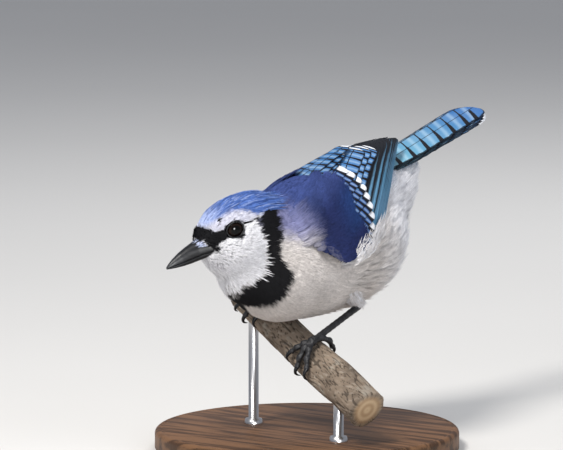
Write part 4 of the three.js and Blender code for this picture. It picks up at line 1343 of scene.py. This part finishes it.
def wing_row(
    quills, roots, tips, width, stand, tone, far_tone, taper, vane, square, bow=(0, 0), **pattern
):
    """A row of wing feathers, from its first to its last.

    roots and tips are their places on the wing. width and bow are those of the first and the last, and stand
    is the height of the root, the height of the rest, and how much lower each next one lies.
    """
    count = len(tips)
    roots = spline(roots, np.linspace(0, 1, count))
    for i, tip in enumerate(tips):
        t = i / (count - 1)
        made = quill(
            wing_surface,
            roots[i],
            tip + rng.uniform(-0.004, 0.004, 2) * [1, 0],
            width[0] + (width[1] - width[0]) * t,
            outer=1,
            height=stand[0] - stand[2] * i,
            lift=stand[1] - stand[2] * i,
            bow=bow[0] + (bow[1] - bow[0]) * t,
            tilt=WING_TILT,
            taper=taper,
            vane=vane,
            square=square,
        )
        made[0][..., 0] = np.maximum(made[0][..., 0], GAP / 2)
        shade = rng.uniform(0.93, 1.07)
        own = {key: (value[i] if isinstance(value, list) else value) for key, value in pattern.items()}
        quills.add(made, tone * shade, far_tone * shade, **own)


# The tips of the rows of feathers: along the wing, and down it
BAR_TIPS = [
    (0.515, 0.10), (0.548, 0.22), (0.568, 0.345), (0.572, 0.47), (0.57, 0.595), (0.568, 0.715), (0.56, 0.82),
    (0.54, 0.905), (0.525, 0.97),
]
TERTIAL_TIPS = [(0.71, 0.03), (0.755, 0.085), (0.79, 0.16)]
SECONDARY_TIPS = [
    (0.80, 0.03), (0.83, 0.06), (0.855, 0.085), (0.88, 0.105), (0.90, 0.12), (0.915, 0.14), (0.925, 0.16),
]
PRIMARY_TIPS = [
    (0.93, 0.05), (0.945, 0.08), (0.96, 0.11), (0.972, 0.14), (0.982, 0.18), (0.988, 0.23), (0.985, 0.30),
    (0.94, 0.42),
]
# How black each one's inner web is, and the black's edge on the web at the root and at the tip
SECONDARY_DARK = [(1, 0.8, 1.3)] * 2
SECONDARY_DARK += [(1, 0.3, 1.1), (1, 0.6, 1.2), (1, 0.2, 1.0), (1, 0.6, 1.1), (1, 0.1, 1.0)]
PRIMARY_DARK = [(1, 0.0, 0.9)] * 3
PRIMARY_DARK += [(1, 0.5, 1.0), (1, 0.3, 1.0), (1, 0.45, 0.9), (1, 0.2, 0.8), (1, 0.3, 0.9)]
TERTIAL_BARS = {"spacing": 6.3, "first": 4.5, "white": 1.5, "tip_line": 1.1, "thick": 1.8, "rim": 0.85}
WING_ROWS = [
    {
        "roots": [(0.38, 0.84), (0.44, 0.9)], "tips": PRIMARY_TIPS, "width": (9, 5), "bow": (0.34, 0.5),
        "stand": (-0.5, 0.1, 0.05), "tone": STREAK, "far_tone": STREAK * 0.5, "taper": 0.75, "vane": 0.3,
        "square": 1.8, "dark": PRIMARY_DARK,
    },
    {
        "roots": [(0.32, 0.60), (0.34, 0.86)], "tips": SECONDARY_TIPS, "width": (11, 9), "bow": (0.12, 0.34),
        "stand": (-0.4, 0.5, 0), "tone": STREAK, "far_tone": STREAK * 0.6, "taper": 0.86, "vane": 0.35,
        "square": 2.4, "dark": SECONDARY_DARK,
    },
    {
        "roots": [(0.30, 0.34), (0.30, 0.58)], "tips": TERTIAL_TIPS, "width": (13, 12),
        "stand": (-0.2, 0.95, 0), "tone": DEEP * 0.9, "far_tone": DEEP, "taper": 0.86, "vane": 0.5,
        "square": 2.6, "dark": (0.35, -0.6, -0.3), **TERTIAL_BARS,
    },
    {
        "roots": [(0.29, 0.06), (0.31, 0.5), (0.27, 0.97)], "tips": BAR_TIPS, "width": (8.6, 7),
        "stand": (-0.5, 1.3, 0), "tone": COVERT * 0.75, "far_tone": COVERT * 0.85, "taper": 0.84,
        "vane": 0.55, "square": 3.2, "spacing": 4.1, "first": 5.4, "white": 4.0, "tip_line": 0.7,
        "thick": 1.9,
    },
]


def make_wings():
    """The flight feathers and the barred coverts of each wing, and its small coverts."""
    for side, name in SIDES:
        flip = np.array([side, 1, 1])
        quills = Quills()
        for row in WING_ROWS:
            wing_row(quills, **row)
        quills.finish(f"wing_{name}_feathers", f"wing_{name}", flip=flip)
        make_wing_coat(side, name, flip)


# The feathers of the roof: how far across they lie, and how far back they reach
ROOF_ROWS = [(0.78, 0.53), (-0.78, 0.55), (0.55, 0.60), (-0.55, 0.62), (0.12, 0.67)]
ROOF_CROWN = 1.2


def roof_surface(s, across):
    """Points and normals of a roof over the back between the wings' upper edges, across it from -1 to 1."""
    def point(s, across):
        edge = wing_points(s, 0 * s + 0.02)
        crown = ROOF_CROWN * (1 - across**2)
        return np.stack([edge[..., 0] * across, edge[..., 1], edge[..., 2] + crown], -1)

    step = 0.01
    ahead = point(np.minimum(1, s + step), across) - point(s - step, across)
    left = point(s, across + step) - point(s, across - step)
    return point(s, across), unit(np.cross(left, ahead))


def make_roof():
    """The innermost barred feathers, which close the back between the two wings."""
    quills = Quills()
    for i, (across, tip) in enumerate(ROOF_ROWS):
        side = 1 if across > 0 else -1
        made = quill(
            roof_surface,
            (0.24, across),
            (tip, across * 0.8),
            8.6,
            outer=side,
            taper=0.84,
            square=2.6,
            height=-0.4,
            lift=1.0 + 0.25 * i,
            tilt=0.05 * side,
        )
        quills.add(made, DEEP * 0.75, DEEP * 0.85, **TERTIAL_BARS)
    quills.finish("back_tertials")


ARM_LENGTH = 0.34
COVERT_TUFTS = 4000  # drawn for each wing, of which those within ARM_EDGE are kept
# Down the wing, and how far back the small coverts reach there
ARM_EDGE = [
    (0, 0.38), (0.06, 0.42), (0.2, 0.455), (0.38, 0.465), (0.53, 0.44), (0.64, 0.43), (0.75, 0.46),
    (0.9, 0.48), (1.05, 0.47),
]


def wing_tone(points, s, q):
    """The small coverts' colour: the body's at the front, then navy, then bluer towards the bars."""
    navy = blend(NAVY, MANTLE, smooth(0.4, 0.0, q))
    tone = blend(navy, COVERT * 0.8, 0.4 * smooth(0.16, 0.4, s) * smooth(0.1, 0.5, q) * smooth(0.9, 0.7, q))
    front = smooth(-0.02, 0.15 - 0.08 * smooth(0.3, 0.8, q), s)
    return blend(markings(points), tone, front * smooth(-0.02, 0.06, q))


def make_wing_coat(side, name, flip):
    """The small coverts over the arm, over a shell of their colour darkened by painted shade."""
    steps, across = 30, 24
    t, k = np.meshgrid(np.linspace(0, 1, steps), np.linspace(0, 1, across), indexing="ij")
    dome = np.sin(math.pi * (0.12 + 0.8 * t)) ** 0.5
    s = 0.09 + t * (ARM_LENGTH - 0.08)
    q = 0.5 + (k - 0.5) * 0.86 * dome - 0.12 * smooth(0.35, 0, t) * smooth(0.4, 1, k)
    points, normals = wing_surface(s, q)
    bulge = (4 * k * (1 - k)) ** 0.6 * np.sin(math.pi * (0.06 + 0.9 * t)) ** 0.7
    top = points + normals * (1.0 * bulge - 1.1)[..., None]
    low = points - normals * 3
    rings = np.concatenate([top, low[:, ::-1]], 1)
    places = [np.concatenate([share, share[:, ::-1]], 1).ravel() for share in (s, q)]
    points, faces = lofted(rings * flip)
    # Painted shade: the shell under the coverts is darker than they are
    tone = wing_tone(rings.reshape(-1, 3), *places) * 0.75
    tone = np.concatenate([tone, tone[:1], tone[-1:]])
    place(make_mesh(f"wing_{name}_arm", points, faces, COAT, unwrap(rings), tone=tone), "plumage")

    count = COVERT_TUFTS
    s = 0.03 + 0.45 * rng.uniform(0, 1, count) ** 0.9
    q = rng.uniform(-0.03, 1.03, count)
    base, ups = wing_surface(s, q)
    size = 5.4 + 1.4 * smooth(0.2, 0.4, s)
    reach = size / 104
    keep = s + reach < read_off(ARM_EDGE, q) + rng.uniform(-0.02, 0.015, count)
    keep = np.flatnonzero(keep & (q < 0.72 + 1.7 * s))
    keep = keep[np.argsort(s[keep])]
    s, q, base, ups, size = s[keep], q[keep], base[keep], ups[keep], size[keep]
    lengths = size * rng.uniform(0.85, 1.12, len(s))
    ahead, _ = wing_surface(np.minimum(1, s + 0.03), q - 0.008)
    ways = on_surface(unit(ahead - base) + 0.06 * rng.normal(size=base.shape), ups)
    rise = np.interp(s, [0.04, 0.12, 0.2, 0.4], [-1.4, -0.3, 0.5, 0.9])
    lift = np.interp(s, [0.03, 0.12, 0.22, 0.36], [0.1, 0.8, 1.6, 2.0]) + rng.normal(0, 0.08, len(s))
    lines = np.array([
        base + ways * (lengths * t)[:, None] + ups * (rise + (lift - rise) * t**0.7)[:, None] for t in LINE
    ])
    tones = wing_tone(lines[1], s, q)
    tones = tones * (1 + 0.08 * waves(base, 6, 11) + 0.05 * rng.normal(size=len(s)))[:, None]
    patches = np.stack([np.clip(0.5 + 0.47 * q, 0, 1), 0.3 + 0.4 * s / 0.5], -1)
    if side < 0:
        patches[:, 0] = 1 - patches[:, 0]
    widths = lengths * 0.42
    make_tufts(f"wing_{name}_coverts", lines * flip, ups * flip, widths, tones, patches, strands=4, fine=0.58)


# Legs and perch
PERCH_AT = np.array([0, 1.75, -44.1])
PERCH_ALONG = unit(np.array([1, -0.25, -0.5]))
PERCH_UP = unit(np.array([0, 0, 1]) - PERCH_ALONG * PERCH_ALONG[2])
PERCH_FORWARD = np.cross(PERCH_ALONG, PERCH_UP)
PERCH_RADIUS = 9.4
PERCH_TAPER = 0.016
PERCH_ENDS = (-42, 64)
HEEL = [(23.2, 26, -28.5), (-20, 36, -25.5)]
THIGH_LEAN = [(-3.5, -6, 12), (2, -13, 3)]  # from the heel to the thigh's top
THIGH_RADII = [(6.6, 4.6, 2.0), (6.2, 4.8, 2.2)]  # at its top, half way, and just above the heel
FOOT_ALONG = (19, -23)
FOOT_ANGLE = (24, 8)
TARSUS_RADIUS = 1.5
TOE_RADIUS = 1.45
CLAW_ARC = 34
TOES = [(78, -5.5), (98, 2), (84, 8.5), (-62, -1)]  # how far round the perch, in degrees, and along it
FEET = ((0, "left"), (1, "right"))
THIGH_TUFTS = 520
THIGH_SIDES = 24


def perch_point(along, angle, out):
    """Points by how far along the perch, round it and out from its middle line they are."""
    along, angle, out = np.broadcast_arrays(along, angle, out)
    return (
        PERCH_AT
        + along[..., None] * PERCH_ALONG
        + (np.cos(angle) * out)[..., None] * PERCH_UP
        + (np.sin(angle) * out)[..., None] * PERCH_FORWARD
    )


def perch_radius(along):
    """The branch's radius at a place along it."""
    return PERCH_RADIUS + PERCH_TAPER * along


def tube(points, radii, sides=14):
    """Rings round a line of points."""
    ahead = unit(np.gradient(points, axis=0))
    side = unit(np.cross(ahead, PERCH_ALONG))
    up = np.cross(side, ahead)
    angle = circle(sides)[None, :, None]
    radii = np.asarray(radii)
    radii = radii if radii.ndim == 2 else np.repeat(radii[:, None], sides, 1)
    return points[:, None] + radii[..., None] * (np.cos(angle) * side[:, None] + np.sin(angle) * up[:, None])


def foot_pad(which):
    """The middle of a foot's pad."""
    at = FOOT_ALONG[which]
    return perch_point(at, math.radians(FOOT_ANGLE[which]), perch_radius(at) + GAP + TOE_RADIUS + 1)


def scutes(length, pitch, rise):
    """How plates that overlap along a leg or toe stand out, for places along it in mm."""
    share = np.mod(length / pitch, 1)
    return rise * (1 - share) * smooth(0, 0.08, share)


def make_legs():
    """The scaled legs, each with its foot."""
    for which, name in FEET:
        heel = np.array(HEEL[which], float)
        pad = foot_pad(which)
        t = np.linspace(0.03, 1, 110)[:, None]
        line = heel + (pad - heel) * t
        length = np.linalg.norm(pad - heel) * t[:, 0]
        radii = TARSUS_RADIUS * np.interp(t[:, 0], [0, 0.12, 0.3, 0.9, 1], [1.1, 1.05, 0.98, 1.0, 1.3])
        radii = radii + scutes(length, 3.4, 0.22)
        points, faces = lofted(tube(line, radii))
        place(make_mesh(f"leg_{name}_scutes", points, faces, SCUTE), "leg_scales", f"tarsus_{name}")
        make_foot(which, name, pad, heel)


def make_thighs():
    """The feathered thighs, which stand a little out of the belly above each heel."""
    for which, name in FEET:
        heel = np.array(HEEL[which], float)
        top = heel + THIGH_LEAN[which]
        t = np.linspace(0, 0.97, 24)[:, None]
        line = top + (heel - top) * t
        radii = np.interp(t[:, 0], [0, 0.5, 0.95], THIGH_RADII[which]) - 0.8
        rings = tube(line, radii, THIGH_SIDES)
        points, faces = lofted(rings)
        # painted shade under the coat, as on the body's skin
        tone = np.tile(WARM * SKIN_SHADE, (len(points), 1))
        piece = make_mesh(f"thigh_{name}_skin", points, faces, COAT, unwrap(rings), tone=tone)
        place(piece, "plumage", f"thigh_{name}")
        count = THIGH_TUFTS
        row = rng.uniform(0, 20, count)
        i = row.astype(int)
        j = rng.integers(0, THIGH_SIDES, count)
        roots = rings[i, j]
        axis = unit(heel - top)
        middle = line[i]
        ups = unit(roots - middle)
        ways = unit(axis + 0.25 * (middle - roots) / 5 + 0.12 * rng.normal(size=roots.shape))
        lengths = np.interp(row, [0, 20], [7.5, 4.5]) * rng.uniform(0.85, 1.15, count)
        lines = np.array([roots + ways * (lengths * t)[:, None] + ups * (1.1 * t) for t in LINE])
        tones = blend(WARM, WHITE, rng.uniform(0.2, 1, count))
        patches = skin_patch(60 + row, 20 + 40 * which + 20 * j / THIGH_SIDES)
        widths = np.full(count, 2.2)
        make_tufts(f"thigh_{name}_coat", lines, ups, widths, tones, patches, strands=5, fine=0.42)


def make_foot(which, name, pad, heel):
    """The toes, which close round the perch from a round pad, and their claws."""
    at = FOOT_ALONG[which]
    side = 1 if which == 0 else -1
    t = np.linspace(-1, 1, 12)
    line = pad + t[:, None] * (heel - pad) / np.linalg.norm(heel - pad) * 2.2
    pieces = [tube(line, (TOE_RADIUS + 0.9) * np.sqrt(np.maximum(0.05, 1 - t**2)))]
    claws = []
    for to, splay in TOES:
        t = np.linspace(0, 1, 56)
        joint = 0.2 * np.cos(t * math.pi * 6)
        radius = TOE_RADIUS * (1.1 - 0.3 * t) + joint
        radius[-1] = 0.3
        angle = np.radians(FOOT_ANGLE[which] + (to - FOOT_ANGLE[which]) * t)
        out = perch_radius(at) + GAP + radius + 0.3
        out[-1] = out[-2]
        line = perch_point(at + side * splay * t, angle, out + 1.2 * (1 - t) ** 2)
        arc = perch_radius(at) * np.abs(angle - angle[0])
        pieces.append(tube(line, radius + scutes(arc, 1.5, 0.16)))
        t = np.linspace(0, 1, 26)
        angle = np.radians(to - math.copysign(3, to) + math.copysign(1, to) * (CLAW_ARC + 3) * t)
        radius = TOE_RADIUS * 0.72 * (1 - t**1.3) + 0.06
        hump = 1.6 * np.sin(math.pi * np.minimum(1, t * 1.1))
        out = perch_radius(at) + GAP + 0.35 + radius + hump
        line = perch_point(at + side * splay * (1 + 0.2 * t), angle, out)
        claws.append(tube(line, radius))
    place(joined(f"foot_{name}_toes", pieces, SCUTE), "leg_scales", f"foot_{name}")
    place(joined(f"foot_{name}_claws", claws, HORN), "horn")


def joined(name, parts, material):
    """One piece of several lofts."""
    points, faces = gathered([lofted(rings) for rings in parts])
    return make_mesh(name, points, faces, material)


def scute_material():
    """The dark scales of the legs and toes."""
    m = Shader("leg_scales", 0.5, Specular_IOR_Level=0.3)
    patch = m.noise(350, 4)
    m.colour(m.mix((0.008, 0.008, 0.01), (0.03, 0.03, 0.034), patch.step(0.3, 0.75)))
    m.bump(m.noise(1400, 2), 0.4, 0.0002)
    return m.material


def make_perch():
    """The branch: a gnarled tube with ridged bark, cracks and cut ends."""
    steps, sides = 300, 128
    along = np.linspace(*PERCH_ENDS, steps)[:, None]
    angle = circle(sides)[None]
    gnarl = 0.35 * np.sin(3 * angle + along * 0.07) + 0.25 * np.sin(2 * angle - along * 0.11)
    grain = np.zeros((steps, sides))
    for _ in range(60):
        wave = rng.integers(3, 22)
        pace = rng.normal(0, 0.25)
        grain += rng.normal(0, 1) * np.sin(wave * angle + pace * along + rng.uniform(0, 6.28)) / wave**0.6
    grain = grain / np.abs(grain).max()
    cracks = smooth(0.12, 0.0, np.abs(grain - 0.1)) + smooth(0.1, 0.0, np.abs(grain + 0.35))
    ends = np.minimum(along - PERCH_ENDS[0], PERCH_ENDS[1] - along)
    bevel = -0.7 * smooth(1.2, 0, ends)
    out = perch_radius(along) + gnarl + 0.35 * grain - 0.5 * cracks - 0.35 + bevel
    rings = perch_point(along, angle, out)
    points, faces = lofted(rings)
    depth = np.concatenate([cracks.ravel(), [0, 0]])
    away = np.concatenate([np.broadcast_to(ends, grain.shape).ravel(), [-1, -1]])
    radius = np.concatenate([out.ravel(), [0, 0]])
    cut = np.stack([away, radius, 0 * radius], -1)
    piece = make_mesh("perch_bark", points, faces, BARK, crack=depth, cut=cut)
    place(piece, "bark", "perch_branch")


def bark_material():
    """Bark with paler patches, cracks darkened by painted shade, and rings of wood at its cut ends."""
    m = Shader("bark", 0.85, Specular_IOR_Level=0.2)
    blotch = m.noise(60, 4)
    fine = m.noise(700, 5, (0.35, 1, 1))
    lichen = m.noise(120, 5).step(0.56, 0.68)
    colour = m.mix((0.095, 0.072, 0.054), (0.29, 0.225, 0.168), blotch.step(0.3, 0.7))
    colour = m.mix(colour, (0.38, 0.33, 0.27), fine.step(0.5, 0.75) * 0.6)
    colour = m.mix(colour, (0.30, 0.295, 0.26), lichen * 0.45)
    # Painted shade in the cracks
    colour = m.mix(colour, (0.02, 0.014, 0.01), m.number("crack").step(0.2, 0.9) * 0.7)
    away, radius, _ = m.numbers("cut")
    rings = (radius * 1.6 + (m.noise(90, 2) - 0.5) * 2).math("SINE") * 0.5 + 0.5
    wood = m.mix((0.42, 0.28, 0.16), (0.55, 0.40, 0.25), rings)
    colour = m.mix(colour, wood, away.step(0.05, -0.4))
    m.colour(colour)
    m.bump(fine * 0.7 + blotch * 0.6, 0.6, 0.0006)
    return m.material


BASE_RADIUS = 75
BASE_THICK = 10
BASE_BEVEL = 2.5
ROD_RADIUS = 2.5
ROD_ALONG = (-30, 44)
BASE_SIDES = 160
ROD_SIDES = 48


def make_stand():
    """The turned base, and two rods, each with a ferrule at its foot."""
    turn = circle(BASE_SIDES)
    bevel = np.linspace(0, math.pi / 2, 9)
    profile = [(0.5, 0), (BASE_RADIUS - 1, 0), (BASE_RADIUS - 0.4, 0.2), (BASE_RADIUS, 0.8)]
    inner, upper = BASE_RADIUS - BASE_BEVEL, BASE_THICK - BASE_BEVEL
    profile += [(inner + BASE_BEVEL * math.cos(a), upper + BASE_BEVEL * math.sin(a)) for a in bevel]
    profile += [(BASE_RADIUS - 3.2, BASE_THICK - 0.35), (BASE_RADIUS - 4, BASE_THICK)]
    profile += [(30, BASE_THICK), (0.5, BASE_THICK)]
    rings = np.array([
        np.stack([r * np.cos(turn), r * np.sin(turn) - BASE_SHIFT, np.full(BASE_SIDES, z - BODY_HEIGHT)], -1)
        for r, z in profile
    ])
    points, faces = lofted(rings)
    place(make_mesh("stand_base_turned", points, faces, WOOD), "base_wood", "stand_base")
    for which, name in ((1, "left"), (0, "right")):
        top = perch_point(ROD_ALONG[which], 0.0, -perch_radius(ROD_ALONG[which]) + 1.5)
        foot = BASE_THICK - BODY_HEIGHT
        z = np.array([foot, foot + 0.01, foot + 2.2, foot + 2.6, top[2] - 0.3, top[2]])
        r = ROD_RADIUS + np.array([2, 2, 1.7, 0, 0, 0])
        turn_rod = circle(ROD_SIDES)
        rings = np.stack([
            top[0] + r[:, None] * np.cos(turn_rod),
            top[1] + r[:, None] * np.sin(turn_rod),
            np.repeat(z[:, None], ROD_SIDES, 1),
        ], -1)
        points, faces = lofted(rings)
        piece = make_mesh(f"stand_rod_{name}_ferrule", points, faces, STEEL)
        place(piece, "rod_steel", f"stand_rod_{name}")


def wood_material():
    """Dark turned wood."""
    m = Shader("base_wood", 0.55, Coat_Weight=0.05, Coat_Roughness=0.4, Specular_IOR_Level=0.25)
    grain = m.noise(90, 6, (0.12, 1.4, 1))
    rings = (grain * 26).math("SINE") * 0.5 + 0.5
    colour = m.mix((0.055, 0.026, 0.012), (0.17, 0.085, 0.04), rings)
    pores = m.noise(1500, 2, (0.08, 1, 1)).step(0.6, 0.7)
    m.colour(m.mix(colour, (0.02, 0.01, 0.006), pores * 0.5))
    m.bump(pores * -1 + rings * 0.3, 0.15, 0.0001)
    return m.material


def steel_material():
    """Brushed steel."""
    m = Shader("rod_steel", 0.3, Metallic=1.0)
    brushed = m.noise(2500, 2, (1, 1, 0.02))
    m.colour(m.mix((0.42, 0.42, 0.43), (0.6, 0.6, 0.61), brushed))
    m.rough(brushed * 0.2 + 0.2)
    return m.material


# The floor, the lights and the camera


def direction(azimuth, elevation):
    """The way at an azimuth from the bird's front towards its left, and at an elevation, in degrees."""
    a, e = math.radians(azimuth), math.radians(elevation)
    return np.array([math.sin(a) * math.cos(e), -math.cos(a) * math.cos(e), math.sin(e)])


CAMERA_WAY = direction(37, 8)
CAMERA_DISTANCE = 3.0
CAMERA_AIM = world((0, -6.9, 13.1))
SENSOR = 36
LENS = 393.3
FLOOR = 3  # half its width, in metres


def make_stage():
    """A plain pale floor."""
    m = Shader("floor", 0.9)
    m.colour(m.mix((0.62, 0.61, 0.59), (0.66, 0.65, 0.63), m.noise(3, 2)))
    corners = [(-FLOOR, -FLOOR, 0), (FLOOR, -FLOOR, 0), (FLOOR, FLOOR, 0), (-FLOOR, FLOOR, 0)]
    mesh = bpy.data.meshes.new("floor")
    mesh.from_pydata(corners, [], [(0, 1, 2, 3)])
    mesh.materials.append(m.material)
    floor = bpy.data.objects.new("floor", mesh)
    bpy.context.scene.collection.objects.link(floor)


def aim(piece, place_at, target):
    """Puts a lamp or the camera at a place and points it at a target."""
    piece.location = place_at
    piece.rotation_euler = (Vector(target) - Vector(place_at)).to_track_quat("-Z", "Y").to_euler()


def make_light(name, azimuth, elevation, distance, size, power, colour=(1, 1, 1), seen=True):
    data = bpy.data.lights.new(name, "AREA")
    data.shape = "DISK"
    data.size = size
    data.energy = power
    data.color = colour
    lamp = bpy.data.objects.new(name, data)
    lamp.visible_glossy = seen
    bpy.context.scene.collection.objects.link(lamp)
    way = direction(azimuth, elevation)
    aim(lamp, CAMERA_AIM + way * distance, CAMERA_AIM)
    return lamp


def make_lights():
    """Three soft lights, a catch light for the left eye, and a pale sky."""
    make_light("key", 5, 50, 1.1, 0.35, 14.5, (1, 0.97, 0.93))
    make_light("fill", 95, 25, 1.3, 0.9, 3, (0.92, 0.96, 1), seen=False)
    make_light("rim", 200, 45, 1.3, 0.7, 7, seen=False)
    # A small lamp that only shows as a point of light in the left eye
    look = HEAD_FRAME @ unit(EYE_LOOK + [-0.12, -0.1, 0.16])
    mirrored = 2 * (look @ CAMERA_WAY) * look - CAMERA_WAY
    azimuth = math.degrees(math.atan2(mirrored[0], -mirrored[1]))
    lamp = make_light("catch", azimuth, math.degrees(math.asin(mirrored[2])), 1.0, 0.3, 12)
    lamp.visible_diffuse = False
    sky = bpy.data.worlds.new("studio")
    bpy.context.scene.world = sky
    sky.use_nodes = True
    background = sky.node_tree.nodes["Background"]
    background.inputs[0].default_value = (0.86, 0.9, 1, 1)
    background.inputs[1].default_value = 0.42


def make_camera():
    """A long lens at the photo's viewing angle."""
    data = bpy.data.cameras.new("camera")
    data.sensor_width = SENSOR
    data.lens = LENS
    data.clip_end = 100
    camera = bpy.data.objects.new("camera", data)
    bpy.context.scene.collection.objects.link(camera)
    aim(camera, CAMERA_AIM + CAMERA_WAY * CAMERA_DISTANCE, CAMERA_AIM)
    bpy.context.scene.camera = camera
    bpy.context.scene.view_settings.view_transform = "Standard"


COAT = feather_material("plumage")
QUILL = quill_material()
HORN = horn_material()
EYE = eye_material()
SCUTE = scute_material()
BARK = bark_material()
WOOD = wood_material()
STEEL = steel_material()

make_camera()
make_stage()
make_lights()
make_skin()
make_coat("head_coat", -30, COAT_HEAD, [(FACE, 2.3), (0, 1.6), (COAT_HEAD, 1.0)], strands=4, fine=0.42)
make_coat("body_coat", COAT_HEAD, 200, [(COAT_HEAD, 0.68), (60, 0.5)], strands=6, fine=0.6)
make_crest()
make_lances()
make_face_tufts()
make_bill()
make_eyes()
make_tail()
make_wings()
make_roof()
make_edge_tufts("scapulars", scapulars, strands=5, fine=0.6, point=0.45)
make_edge_tufts("shoulder", shoulder, strands=5, fine=0.6, point=0.45)
make_edge_tufts("flank_fringe", flank_fringe, strands=4, fine=0.42, steps=4, point=0.8)
make_legs()
make_thighs()
make_perch()
make_stand()
